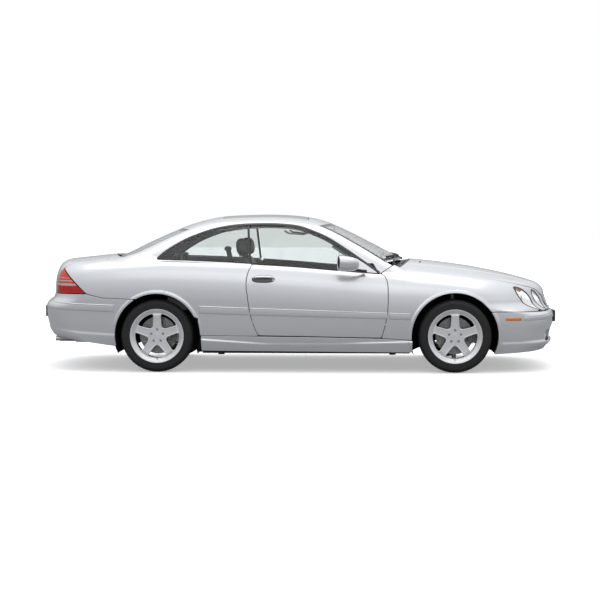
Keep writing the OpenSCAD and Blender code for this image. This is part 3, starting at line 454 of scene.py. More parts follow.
PAINT = procedural("silver_paint", (0.74, 0.755, 0.78), 0.34, metal=0.72, coat=1.0, vary=0.035, scale=2600, detail=2, rvary=0.05, bump=0.05, bscale=3800, bdist=0.00004)
PAINT_IN = procedural("inner_paint", (0.55, 0.56, 0.58), 0.45, metal=0.5, coat=0.3, vary=0.05, scale=40, bump=0.1, bscale=500)
BLACK = procedural("black_plastic", (0.016, 0.017, 0.018), 0.38, vary=0.3, scale=300, bump=0.25, bscale=1500, spec=0.4)
GLOSSK = procedural("gloss_black_trim", (0.010, 0.011, 0.012), 0.10, vary=0.25, scale=90, rvary=0.04, bump=0.03, bscale=60, coat=0.6)
RUBBER = procedural("seal_rubber", (0.014, 0.014, 0.014), 0.62, vary=0.3, scale=400, bump=0.3, bscale=1200)
TYRE = procedural("tyre_rubber", (0.020, 0.020, 0.021), 0.66, vary=0.35, scale=120, rvary=0.10, bump=0.35, bscale=1600, bdist=0.0003, spec=0.35)
GLASS = glassy("tinted_glass", (0.80, 0.835, 0.825))
DGLASS = procedural("sunroof_glass", (0.020, 0.026, 0.026), 0.05, coat=1.0, vary=0.2, scale=6, rvary=0.02, bump=0.02, bscale=12, spec=0.7)
FRIT = procedural("glass_border", (0.012, 0.013, 0.013), 0.12, vary=0.3, scale=500, rvary=0.05, bump=0.05, bscale=900)
CLEAR = glassy("lamp_lens", (0.985, 0.99, 0.995), ior=1.42)
CHROME = procedural("chrome", (0.83, 0.84, 0.86), 0.07, metal=1.0, vary=0.03, scale=30, rvary=0.03, bump=0.02, bscale=200)
SATIN = procedural("satin_trim", (0.66, 0.67, 0.69), 0.24, metal=1.0, vary=0.04, scale=300, rvary=0.05, bump=0.06, bscale=900)
REFL = procedural("lamp_reflector", (0.80, 0.81, 0.82), 0.14, metal=1.0, vary=0.05, scale=60, rvary=0.06, bump=0.25, bscale=90, bdist=0.001, kind="wave")
WHEEL = procedural("wheel_lacquer", (0.82, 0.825, 0.835), 0.33, metal=0.45, coat=0.5, vary=0.04, scale=900, rvary=0.05, bump=0.08, bscale=1800, bdist=0.0001)
WHEELK = procedural("wheel_inner", (0.30, 0.30, 0.31), 0.5, metal=0.5, vary=0.2, scale=50, bump=0.15, bscale=400)
IRON = procedural("brake_iron", (0.34, 0.33, 0.32), 0.36, metal=0.9, vary=0.18, scale=70, rvary=0.10, bump=0.25, bscale=500, kind="wave")
CASTING = procedural("cast_metal", (0.20, 0.20, 0.205), 0.55, metal=0.7, vary=0.25, scale=60, bump=0.5, bscale=350, bdist=0.0006)
STEEL = procedural("exhaust_steel", (0.52, 0.51, 0.50), 0.30, metal=1.0, vary=0.12, scale=25, rvary=0.08, bump=0.15, bscale=260)
UNDER = procedural("underbody_coat", (0.030, 0.031, 0.032), 0.75, vary=0.35, scale=40, bump=0.6, bscale=260, bdist=0.001)
WELL = procedural("wheel_well_felt", (0.012, 0.012, 0.012), 0.85, vary=0.35, scale=80, bump=0.5, bscale=700, bdist=0.0008)
RED = glassy("red_lens", (0.62, 0.012, 0.016), rough=0.05, vary=0.08, scale=30, trans=0.35)
ORANGE = glassy("orange_lens", (0.86, 0.055, 0.025), rough=0.05, vary=0.08, scale=30, trans=0.25)
WHITEL = glassy("clear_lens", (0.62, 0.52, 0.50), rough=0.08, vary=0.05, scale=40, trans=0.2)
AMBER = glassy("amber_lens", (0.78, 0.26, 0.05), rough=0.08, vary=0.1, scale=40, trans=0.15)
PLATE = procedural("blank_plate", (0.80, 0.80, 0.79), 0.35, vary=0.02, scale=20, bump=0.1, bscale=700)
LEATHER = procedural("seat_leather", (0.070, 0.082, 0.076), 0.46, vary=0.14, scale=26, rvary=0.08, bump=0.55, bscale=420, bdist=0.0010, kind="voronoi", spec=0.45)
SOFT = procedural("dashboard_soft", (0.035, 0.040, 0.038), 0.62, vary=0.2, scale=60, bump=0.6, bscale=520, bdist=0.0008, kind="voronoi")
CARPET = procedural("carpet", (0.030, 0.034, 0.033), 0.95, vary=0.4, scale=420, bump=0.9, bscale=1200, bdist=0.002, spec=0.1)
HEAD = procedural("headlining", (0.36, 0.38, 0.36), 0.9, vary=0.06, scale=200, bump=0.5, bscale=1500, bdist=0.0006, spec=0.15)
WOOD = procedural("dark_wood", (0.07, 0.035, 0.018), 0.18, coat=1.0, vary=0.3, scale=12, detail=8, bump=0.05, bscale=40, c2=(0.16, 0.075, 0.035))
SCREEN = procedural("dial_glass", (0.010, 0.012, 0.014), 0.10, vary=0.2, scale=20, bump=0.02, bscale=50, coat=1.0)

# ---------------------------------------------------------------- outlines of the body
front_line = np.array([[779, 326], [805, 414], [824, 500], [833, 570], [838, 650], [838, 740], [836, 790], [828, 840], [812, 878], [790, 898], [768, 905]])
rear_line = np.array([[-408, 995], [-428, 958], [-444, 925], [-456, 880], [-463, 823], [-460, 760], [-452, 708], [-441, 629], [-422, 526], [-390, 425], [-366, 370], [-350, 345]])
belt_pts = np.array([[-1236, 1030], [-1060, 1027], [-899, 1021], [-650, 1010], [-408, 995], [-200, 981], [3, 966], [195, 949], [480, 926], [753, 903]])
window_top = np.array([[-1285, 1032], [-1215, 1092], [-1132, 1148], [-1030, 1205], [-919, 1252], [-810, 1290], [-706, 1316], [-547, 1339],
    [-333, 1348], [-150, 1344], [-3, 1328], [100, 1297], [262, 1228], [442, 1118], [600, 1010], [690, 948], [753, 905]])
FL, RL, WTOP = smooth_line(front_line), smooth_line(rear_line), smooth_line(window_top)
def belt(x): return np.interp(x, belt_pts[:, 0], belt_pts[:, 1])
OPEN = np.vstack([RL, [[-300, 335], [700, 800], [753, 905]], WTOP[:-1][::-1], belt_pts[:5]])
SIDE_OUT = np.array([[-2256, 985], [-2176, 952], [-1936, 722], [-1796, 685], [-1560, 674], [-1400, 672], [-900, 500], [-880, 341],
    [-360, 338], [-300, 338], [-300, 1000], [700, 1000], [758, 905], [888, 988], [904, 1060], [800, 1200], [300, 1500], [-2000, 1500], [-2256, 1100]])
side_rim = np.array([[-2400, 600], [-2300, 610], [-2200, 650], [-2080, 662], [-1950, 658], [-1782, 640], [-1600, 650], [-1023, 572], [-900, 566], [208, 566], [798, 740], [900, 746]])
fender_rim = np.array([[700, 742], [798, 742], [880, 722], [922, 709], [1200, 711], [1500, 699], [1750, 669], [1920, 627], [2030, 579], [2120, 510], [2200, 425], [2262, 350], [2300, 304], [2500, 304]])
hood_side = np.array([[922, 704], [1200, 706], [1500, 694], [1750, 664], [1920, 622], [2030, 574], [2120, 505], [2200, 420], [2262, 345], [2300, 299], [2420, 299]])
lid_side = np.array([[-1782, 634], [-1950, 652], [-2080, 656], [-2200, 640], [-2282, 580], [-2460, 562]])
FEND = np.vstack([FL, [[892, 985], [905, 1200], [2500, 1200], [2500, 561], [1700, 561], [1064, 302], [779, 320]]])
def pl(t, x): return np.interp(x, t[:, 0], t[:, 1])
def hood_rear(y): return 1070 - 0.0003*y*y
def shield_base(y): return 985 - 0.00034*y*y
def shield_head(y): return 318 - 0.00034*y*y
def rear_head(y): return -1152 + 0.0004*y*y
def rear_base(y): return -1764 + 0.0004*y*y
DOOR = np.vstack([FL - [5, 0], [[x, belt(x)] for x in range(740, -390, -40)], [[-401, 995]], RL + [5, 0], [[-300, 343], [200, 335], [740, 325]]])

def oval(y, z, outer, grow=0.0):
    c = (600., 668.) if outer else (428., 655.)
    a, b = (64., 112.) if outer else (56., 92.)
    w = math.radians(17 if outer else 20)
    dy, dz = np.abs(y)-c[0], z-c[1]
    u = dy*math.cos(w) - dz*math.sin(w)
    v = dy*math.sin(w) + dz*math.cos(w)
    k = np.hypot(u/(a+grow), v/(b+grow))
    return (k-1)*min(a, b)                       # negative inside

TAILP = np.array([[-1948, 722], [-2182, 944], [-2260, 962], [-2500, 962], [-2500, 718]])
def g_side(P):
    x, y, z = P[..., 0], np.abs(P[..., 1]), P[..., 2]
    g = np.minimum(sdf(SIDE_OUT, x, z), -sdf(OPEN, x, z))
    g = np.minimum(g, np.hypot(x-RA, z-AZ) - 388)
    return np.minimum(g, y - pl(side_rim, x)) - 3
def g_fender(P):
    x, y, z = P[..., 0], np.abs(P[..., 1]), P[..., 2]
    g = np.minimum(sdf(FEND, x, z), np.hypot(x-FA, z-AZ) - 397)
    g = np.minimum(g, y - pl(fender_rim, x))
    g = np.minimum(g, np.where(x > 1900, oval(y, z, True, 2), 99))
    g = np.minimum(g, np.where(x > 1900, oval(y, z, False, 2), 99))
    return g - 3
def g_door(P):
    return sdf(DOOR, P[..., 0], P[..., 2]) - 3
def g_hood(P):
    x, y, z = P[..., 0], np.abs(P[..., 1]), P[..., 2]
    g = np.minimum(pl(hood_side, x) - y, hood_rear_line(y, x))
    front = 2352 - 52*(y/300)**2 - x
    g = np.minimum(g, np.where(y < 330, front, 60))
    return g - 3
def hood_rear_line(y, x):
    return x - (hood_rear(y) - np.maximum(y-640, 0)*1.9)
def g_roof(P):
    x, y = P[..., 0], np.abs(P[..., 1])
    g = np.minimum(561 - y, np.minimum(x - rear_head(y) - 5, shield_head(y) - 5 - x))
    hole = np.maximum(np.abs(x+310) - 407, y - 377)
    return np.minimum(g, hole) - 3
def g_sun(P):
    x, y = P[..., 0], np.abs(P[..., 1])
    return np.minimum(402 - np.abs(x+310), 372 - y) - 2
def g_lid(P):
    x, y, z = P[..., 0], np.abs(P[..., 1]), P[..., 2]
    return np.minimum(np.minimum(lid_front_x() - x, pl(lid_side[::-1], x) - y), z - 716) - 3
def lid_front_x(): return -1782.0
def g_shelf(P):
    x, y = P[..., 0], np.abs(P[..., 1])
    return np.minimum(np.minimum(x + 1777, rear_base(y) - 8 - x), 636 - y) - 2
def g_shield(P):
    x, y = P[..., 0], np.abs(P[..., 1])
    side = np.interp(x, [208, 798], [563, 737])
    return np.minimum(np.minimum(x - shield_head(y) + 1, shield_base(y) - x), side - y) - 1
def g_rearw(P):
    x, y = P[..., 0], np.abs(P[..., 1])
    side = np.interp(x, [-1600, -1023], [645, 569])
    return np.minimum(np.minimum(rear_head(y) - 1 - x, x - rear_base(y)), side - y) - 1
QG = np.vstack([[[x, belt(x)+1] for x in (-1236, -1060, -899, -650, -424)], [[-452, 1344]], WTOP[WTOP[:, 0] < -460][::-1]])
DG = np.vstack([[[x, belt(x)] for x in range(745, -400, -40)], [[-412, 996], [-440, 1346]], WTOP[WTOP[:, 0] > -430]])
def g_qglass(P): return sdf(QG, P[..., 0], P[..., 2]) - 2
def g_dglass(P): return sdf(DG, P[..., 0], P[..., 2]) - 2
BTOP = np.array([[-1400, 667], [-1560, 669], [-1796, 680], [-1930, 714], [-2500, 714], [-2500, 306], [-2180, 306], [-1976, 280], [-1783, 252], [-1400, 200]])
def fogs(y, z):
    # rounded opening, its top leaning down to the outside
    dy = np.maximum(np.abs(y-562) - 76, 0); dz = np.maximum(np.abs(z-340-0.08*(560-y)) - 30, 0)
    return np.hypot(dy, dz) - 20
def g_fbump(P):
    x, y, z = P[..., 0], np.abs(P[..., 1]), P[..., 2]
    g = np.minimum(np.hypot(x-FA, z-AZ) - 397, 556 - z)
    low_edge = np.interp(x, [1830, 1981, 2156, 2261, 2420], [177, 186, 196, 206, 206])
    g = np.minimum(g, z - low_edge + 8)
    g = np.minimum(g, x - 1700)
    mid = np.hypot(np.maximum(y - 400, 0), np.maximum(np.abs(z-327) - 14, 0)) - 28
    g = np.minimum(g, np.where(x > 2000, np.minimum(fogs(y, z), mid), 99))
    return g - 3
def g_rbump(P):
    x, y, z = P[..., 0], np.abs(P[..., 1]), P[..., 2]
    g = np.minimum(sdf(BTOP, np.maximum(x, -2499), z), np.hypot(x-RA, z-AZ) - 388)
    return g - 3
SILL = np.array([[-872, 200], [0, 194], [1054, 187], [1058, 297], [770, 315], [200, 326], [-360, 333], [-874, 336]])
def g_sill(P): return sdf(SILL, P[..., 0], P[..., 2]) - 3

# soft creases: hood ridges and the lip low on the bumpers
def F_hood(x, y, z):
    a = np.abs(y)
    r = np.interp(x, [1000, 1600, 2200, 2360], [470, 430, 340, 285])
    return Flow(x, y, z) + 5.0*(1 - sstep(-26, 26, a - r))*sstep(900, 1100, x)
def F_fb(x, y, z):
    # splitter lip
    line = np.interp(x, [1850, 2000, 2130, 2250, 2420], [258, 262, 266, 272, 276])
    lip = 9.0*sstep(-30, 4, -(z-line))*sstep(1830, 1900, x)
    return Flow(x, y, z) + lip
def F_rb(x, y, z):
    line = np.interp(x, [-2440, -2200, -1980, -1700], [392, 372, 345, 330])
    return Flow(x, y, z) + 7.0*sstep(-34, 2, -(z-line))
def F_sill(x, y, z):
    # the sill bulges below a crease that fades towards the middle
    return Flow(x, y, z) + 10.0*sstep(-18, 6, -(z - np.interp(x, [-870, -300, 300, 1050], [300, 262, 262, 283])))*np.interp(x, [-870, -400, -200, 400, 600, 1050], [1, .8, .45, .45, .8, 1])

def both(fn):
    for s, side in ((-1, "right"), (1, "left")): fn(s, side)

def us_fan(x0, x1, a, step=11):
    u = list(np.arange(x0, x1, step)) + [x1]
    return u + list(x1 + np.arange(0.75, a, 0.75)*15)

def sides(s, side):
    panel("side_panel_"+side, chart_caps(Fb, 560, s=s), np.arange(-2262, 906, 11.0), np.arange(-26, 56.5, 0.62), g_side, Fb, PAINT, "body", "body_paint", depth=22, back=PAINT_IN, node="body_sides" if s < 0 else None)
    panel("front_fender_"+side, chart_caps(Fb, 500, s=s), us_fan(770, XN, 75), np.arange(-24, 46.5, 0.66), g_fender, Fb, PAINT, "body", "body_paint", depth=18, back=PAINT_IN, node="front_fenders" if s < 0 else None)
    panel("door_"+side, chart_side(Flow, s=s), np.arange(-472, 846, 10.0), np.arange(318, 1004, 9.0), g_door, Flow, PAINT, side+"_door", "body_paint", depth=62, back=SOFT, node=side+"_door", dvec=(0, s, 0))
    panel("sill_"+side, chart_side(F_sill, s=s), np.arange(-880, 1070, 11.0), np.arange(182, 346, 8.0), g_sill, F_sill, PAINT, "body", "body_paint", depth=50, back=PAINT_IN, node="side_sills" if s < 0 else None, dvec=(0, s, 0))
    panel("door_glass_"+side, chart_side(Fb, s=s), np.arange(-446, 762, 12.0), np.arange(890, 1352, 11.0), g_dglass, Ftop, GLASS, side+"_door", "tinted_glass", depth=5, r=1, back=GLASS, inset=6, node=side+"_door_glass")
    panel("quarter_glass_"+side, chart_side(Fb, s=s), np.arange(-1290, -410, 12.0), np.arange(985, 1352, 11.0), g_qglass, Ftop, GLASS, "body", "tinted_glass", depth=5, r=1, back=GLASS, inset=6, node="quarter_glass" if s < 0 else None)
both(sides)
panel("roof_skin", chart_top(Fb), np.arange(-1170, 330, 11.0), np.arange(-572, 573, 11.0), g_roof, Fb, PAINT, "body", "body_paint", depth=20, back=HEAD, node="roof_panel", dvec=(0, 0, 1))
panel("sunroof_panel", chart_top(Fb), np.arange(-716, 98, 12.0), np.arange(-378, 379, 12.0), g_sun, Fb, DGLASS, "body", "dark_glass", depth=14, r=2, back=DGLASS, node="sunroof", dvec=(0, 0, 1))
panel("hood_skin", chart_top(F_hood), np.arange(918, 2366, 11.0), np.arange(-712, 713, 11.0), g_hood, F_hood, PAINT, "hood", "body_paint", depth=20, back=PAINT_IN, node="hood", dvec=(0, 0, 1))
panel("trunk_skin", chart_tail(Flow), np.arange(-666, 667, 11.0), np.arange(-4, 96, 0.7), g_lid, Flow, PAINT, "trunk_lid", "body_paint", depth=20, back=PAINT_IN, node="trunk_lid")
panel("rear_shelf_skin", chart_top(Flow), np.arange(-1800, -1590, 9.0), np.arange(-642, 643, 11.0), g_shelf, Flow, PAINT, "body", "body_paint", depth=16, back=PAINT_IN, node="rear_shelf")
panel("windshield_glass", chart_top(Ftop, lo=600), np.arange(130, 1000, 11.0), np.arange(-752, 753, 11.5), g_shield, Ftop, GLASS, "body", "tinted_glass", depth=5, r=1, back=GLASS, inset=3, node="windshield",
      bands=lambda C: np.where(g_shield(C) < 34, 1, 0), extra=[FRIT])
panel("rear_window_glass", chart_top(Ftop, lo=600), np.arange(-1775, -1000, 11.0), np.arange(-660, 661, 11.0), g_rearw, Ftop, GLASS, "body", "tinted_glass", depth=5, r=1, back=GLASS, inset=3, node="rear_window",
      bands=lambda C: np.where(g_rearw(C) < 30, 1, 0), extra=[FRIT])
def chart_end(F, xc, s, level=0.0):
    def c(u, v):                                  # u degrees round, v = z
        p = np.radians(u)
        O = np.stack([np.full_like(u, float(xc)), np.zeros_like(u), v], -1)
        D = np.stack([s*np.cos(p), np.sin(p), np.zeros_like(u)], -1)
        return solve(F, O, D, 150, 1500, level)
    return c
panel("front_bumper_skin", chart_end(F_fb, 1500, 1), np.arange(-80, 80.1, 0.66), np.arange(165, 566, 8.0), g_fbump, F_fb, PAINT, "body", "body_paint", depth=24, back=PAINT_IN, node="front_bumper")
panel("rear_bumper_skin", chart_end(F_rb, -1370, -1), np.arange(-86, 86.1, 0.6), np.arange(195, 724, 8.5), g_rbump, F_rb, PAINT, "body", "body_paint", depth=24, back=PAINT_IN, node="rear_bumper")

# ---------------------------------------------------------------- wheels
def W2(ax, s, u, v, w):
    """wheel coordinates to the car's: u forward, v up, w out from the wheel's middle plane"""
    return np.stack([ax + u, s*(TRACK + w), AZ + v], -1)

def revolve(name, prof, n, ax, s, mat, body, slot=None, node=None, closed=True, disp=None, idx=None, extra=(), a0=0.0):
    prof = np.array(prof, float)
    th = np.arange(n)*2*np.pi/n + a0
    R = np.repeat(prof[None, :, 0], n, 0); Wd = np.repeat(prof[None, :, 1], n, 0)
    if disp is not None: R, Wd = disp(R, Wd, th)
    V = W2(ax, s, R*np.cos(th)[:, None], R*np.sin(th)[:, None], Wd)
    m = len(prof); faces = []; ids = []
    for i in range(n):
        k = (i+1) % n
        for j in range(m if closed else m-1):
            l = (j+1) % m
            f = [i*m+j, i*m+l, k*m+l, k*m+j]
            faces.append(f if s > 0 else f[::-1]); ids.append(idx(i, j) if idx else 0)
    return make(name, V.reshape(-1, 3), faces, [mat]+list(extra), body, slot, None, ids, node=node)

SPOKE_A = [math.radians(90 + 72*k) for k in range(5)]
HP = herm([[0, 79], [60, 79], [90, 80], [150, 83], [190, 86], [205, 83], [213, 84], [222, 92], [232, 101], [240, 107], [246, 109.5], [251, 107]])
def star(u, v):
    """distance inside the spokes, hub and rim ring"""
    r = np.hypot(u, v)
    d = smax(78 - r, r - 207, 10.0)
    for a in SPOKE_A:
        p = u*math.cos(a) + v*math.sin(a); q = -u*math.sin(a) + v*math.cos(a)
        hw = np.interp(p, [0, 60, 120, 190, 214, 230], [46, 42, 37, 33.5, 37, 50])
        d = smax(d, np.where(p > 0, hw - np.abs(q), -200), 26.0)
    return d
def face_h(u, v):
    r = np.hypot(u, v); d = star(u, v)
    ring = sstep(200, 208, r)
    h = T(HP, r) + (1-ring)*(1.8*(1 - sstep(7, 12, d))*sstep(80, 100, r) - 3.0*(1 - sstep(-1, 3.5, d)))
    return h - 4.0*sstep(205.5, 207.5, r)*(1 - sstep(209, 213, r))
def wheel(ax, s, tag):
    body = tag + "_wheel"
    def F(x, y, z):
        return face_h(x-ax, z-AZ) - (s*y - TRACK)
    def chart(u, v):
        a = np.radians(u)
        U, Vv = v*np.cos(a), v*np.sin(a)
        return W2(ax, s, U, Vv, face_h(U, Vv))
    def g(P):
        u, v = P[..., 0]-ax, P[..., 2]-AZ
        d = star(u, v)
        for a in SPOKE_A:
            d = np.minimum(d, np.hypot(u-56*math.cos(a), v-56*math.sin(a)) - 12.5)
        return d
    panel(tag+"_rim_face", chart, np.arange(0, 360.1, 1.5), list(np.arange(24, 204, 4.0)) + [204, 206, 208, 210, 213, 217, 221, 226, 231, 236, 240, 243, 246, 248.5, 250], g, F, WHEEL, body, "wheel_silver",
          depth=34, r=1.6, back=WHEELK, dvec=(0, s, 0), wrap=True, node=tag+"_rim")
    # barrel between the flanges
    revolve(tag+"_rim_barrel", [[249.5, 106], [243, 99], [236, 92], [228, 70], [222, 20], [222, -70], [232, -88], [241, -98], [249, -105], [249.5, -112], [240, -113.5], [230, -108], [214, -86], [213, 20], [216, 60], [218, 78], [236, 97]], 144, ax, s, WHEELK, body, "wheel_silver")
    # hub behind the bolts, bolts, cap, valve
    revolve(tag+"_hub", [[0.5, 40], [74, 40], [74, 66], [0.5, 66]], 48, ax, s, WHEELK, body, "wheel_silver")
    revolve(tag+"_cap", [[0.5, 62], [26.5, 62], [27.5, 77], [26.6, 80.4], [25, 81.4], [23.6, 80.6], [22, 80.2], [14, 81.4], [6, 82], [0.5, 82.1]], 48, ax, s, WHEEL, body, "wheel_silver")
    for k, a in enumerate(SPOKE_A):
        c = (56*math.cos(a), 56*math.sin(a))
        V, fc = [], []
        prof = [(9.6, 64), (9.6, 68.5), (8.0, 70), (7.2, 70), (7.2, 78), (6.4, 79), (4.0, 79), (3.6, 75)]
        for j, (r, w) in enumerate(prof):
            for i in range(12):
                t = i*math.pi/6; rr = r if j < 3 or j > 5 else r*(1.0 if i % 2 == 0 else 0.9)
                V.append(W2(ax, s, c[0]+rr*math.cos(t), c[1]+rr*math.sin(t), w))
        for j in range(len(prof)-1):
            for i in range(12):
                f = [j*12+i, (j+1)*12+i, (j+1)*12+(i+1) % 12, j*12+(i+1) % 12]
                fc.append(f if s < 0 else f[::-1])
        fc.append([(len(prof)-1)*12+i for i in range(12)][::(-1 if s > 0 else 1)]); fc.append([i for i in range(12)][::(1 if s > 0 else -1)])
        make(tag+"_bolt_%d" % (k+1), V, fc, SATIN, body, "bare_metal", smooth=False)
    V, fc = [], []
    for j, (r, q) in enumerate([(3.2, 0), (3.2, 22), (4.6, 22), (4.6, 32), (3.4, 34)]):
        for i in range(10):
            t = i*math.pi/5
            V.append(W2(ax, s, r*math.cos(t), -212 + q*0.35 + r*math.sin(t)*0.6, 72 + q*0.9))
    for j in range(4):
        for i in range(10):
            f = [j*10+i, (j+1)*10+i, (j+1)*10+(i+1) % 10, j*10+(i+1) % 10]
            fc.append(f if s < 0 else f[::-1])
    fc.append([40+i for i in range(10)]); fc.append([9-i for i in range(10)])
    make(tag+"_valve", V, fc, RUBBER, body, "black_plastic")
    # tyre: bead, rim guard, sidewall rings, shoulder blocks and grooves
    side = [(241, 97), (243.5, 104), (249, 109.5), (254, 114), (258, 114.8), (261, 113.4), (264, 113), (272, 114.4), (284, 115.6), (287, 115.2), (288.5, 114.6), (290, 115.2), (300, 114.4), (308, 111.6), (310, 110.2), (312, 110), (318, 105.8), (324, 98.6), (328.4, 90), (331.6, 80), (333.4, 72), (334.4, 64)]
    tread = [(334.6, 58), (334.7, 52), (327.5, 51), (327.5, 44), (334.8, 43), (334.9, 24), (334.9, 19), (327.5, 18), (327.5, 10), (335, 9), (335, 0)]
    prof = side + tread + [(r, -w) for r, w in tread[-2::-1]] + [(r, -w) for r, w in side[::-1]] + [(238, -90), (238, 90)]
    PR = np.array(prof)
    shoulder = (np.abs(PR[:, 1]) > 55) & (PR[:, 0] > 317)
    blocks = (np.abs(PR[:, 1]) < 50) & (PR[:, 0] > 330)
    def disp(R, Wd, th):
        k = np.arange(len(th)) % 4
        R = R.copy(); Wd = Wd.copy()
        cut = (k == 0)[:, None] & shoulder[None, :]
        R = np.where(cut, R - 4.2, R)
        cut2 = (k == 2)[:, None] & blocks[None, :]
        R = np.where(cut2, R - 2.4, R)
        return R, Wd
    revolve(tag+"_tyre_body", prof, 288, ax, s, TYRE, body, "tyre_rubber", node=tag+"_tyre", disp=disp)
    # brake disc with drilled holes on its outer face
    def Fd(x, y, z): return -9.5 - (s*y - TRACK)
    def cd(u, v):
        a = np.radians(u)
        return W2(ax, s, v*np.cos(a), v*np.sin(a), np.full_like(u, -9.5))
    def gd(P):
        u, v = P[..., 0]-ax, P[..., 2]-AZ
        r, a = np.hypot(u, v), np.degrees(np.arctan2(v, u))
        g = np.minimum(r - 88, 171 - r)
        for rr, ph in ((106, 0), (122, 8), (138, 16), (154, 24)):
            da = (a - ph + 12) % 24 - 12
            g = np.minimum(g, np.hypot(rr*np.radians(da), r-rr) - 4.2)
        return g
    panel(tag+"_brake_face", cd, np.arange(0, 360.1, 1.2), np.arange(86, 174, 2.75), gd, Fd, IRON, body, "brushed_metal", depth=27, r=0.8, back=IRON, dvec=(0, s, 0), wrap=True, node=tag+"_disc")
    revolve(tag+"_brake_hat", [[24.3, -28], [88, -28], [88.5, -9.5], [84, 14], [80, 34], [70, 38], [24.3, 38]], 72, ax, s, IRON, body, "brushed_metal")

def caliper(ax, s, tag, body):
    V, fc = [], []
    A = np.radians(np.linspace(-24, 24, 17))
    sec = [(118, -50), (118, -64), (128, -70), (168, -70), (181, -62), (184, -30), (184, -4), (180, 12), (168, 17), (126, 17), (118, 12), (118, -3), (174.5, -3), (174.5, -42)]
    m = len(sec)
    for i, a in enumerate(A):
        t = abs(i-8)/8.0; k = 1 - 0.06*t**4
        for (r, w) in sec:
            rr = 118 + (r-118)*k
            V.append(W2(ax, s, rr*math.cos(a), rr*math.sin(a), w*(1-0.05*t**3)))
    for i in range(16):
        for j in range(m):
            f = [i*m+j, i*m+(j+1) % m, (i+1)*m+(j+1) % m, (i+1)*m+j]
            fc.append(f if s < 0 else f[::-1])
    fc.append(list(range(m))[::(1 if s > 0 else -1)]); fc.append([16*m+j for j in range(m)][::(-1 if s > 0 else 1)])
    ob = make(tag+"_caliper", V, fc, CASTING, body, "bare_metal", smooth=False)
    bv = ob.modifiers.new("edge", "BEVEL"); bv.width = 0.0025; bv.segments = 2; bv.limit_method = "ANGLE"
for ax, s, tag in ((FA, -1, "front_right"), (FA, 1, "front_left"), (RA, -1, "rear_right"), (RA, 1, "rear_left")):
    wheel(ax, s, tag)
    caliper(ax, s, tag, ("right_knuckle" if s < 0 else "left_knuckle") if ax > 0 else "body")

# ---------------------------------------------------------------- small builders
def lathe(name, o, axis, prof, mat, body, slot=None, n=32, squash=1.0, smooth=True, node=None):
    """profile of (radius, height along the axis) turned about the axis from o; closed at both ends"""
    a = unit(np.array(axis, float)); h = np.array([0, 0, 1.0]) if abs(a[2]) < 0.9 else np.array([1.0, 0, 0])
    e1 = unit(np.cross(h, a)); e2 = np.cross(a, e1)
    V, F = [], []
    for r, w in prof:
        for i in range(n):
            t = 2*math.pi*i/n
            V.append(np.array(o) + a*w + e1*r*math.cos(t) + e2*r*squash*math.sin(t))
    for j in range(len(prof)-1):
        for i in range(n):
            F.append([j*n+i, j*n+(i+1) % n, (j+1)*n+(i+1) % n, (j+1)*n+i])
    F.append([i for i in range(n)][::-1]); F.append([(len(prof)-1)*n+i for i in range(n)])
    return make(name, V, F, mat, body, slot, smooth=smooth, node=node)

def tube(name, path, rad, mat, body, slot=None, n=12, squash=1.0, up=(0, 0, 1), node=None, smooth=True):
    """closed tube along points; rad may be a list; squash flattens it along up"""
    P = np.array(path, float); t = unit(np.gradient(P, axis=0))
    R = np.broadcast_to(np.asarray(rad, float), (len(P),))
    V, F = [], []
    for p, d, r in zip(P, t, R):
        e1 = unit(np.cross(np.array(up, float), d)); e2 = np.cross(d, e1)
        for i in range(n):
            q = 2*math.pi*i/n
            V.append(p + e1*r*math.cos(q) + e2*r*squash*math.sin(q))
    for j in range(len(P)-1):
        for i in range(n):
            F.append([j*n+i, j*n+(i+1) % n, (j+1)*n+(i+1) % n, (j+1)*n+i])
    F.append([i for i in range(n)][::-1]); F.append([(len(P)-1)*n+i for i in range(n)])
    return make(name, V, F, mat, body, slot, smooth=smooth, node=node)

def on(F, x, z, s, h=0.0):
    """point on the car's side at (x, z), h outside it"""
    c = chart_side(F, s=s)
    P = c(np.array([float(x)]), np.array([float(z)])); N = -unit(grad(F, P))
    return (P + N*h)[0]
def on_top(F, x, y, h=0.0, lo=500):
    P = chart_top(F, lo=lo)(np.array([float(x)]), np.array([float(y)])); N = -unit(grad(F, P))
    return (P + N*h)[0], N[0]

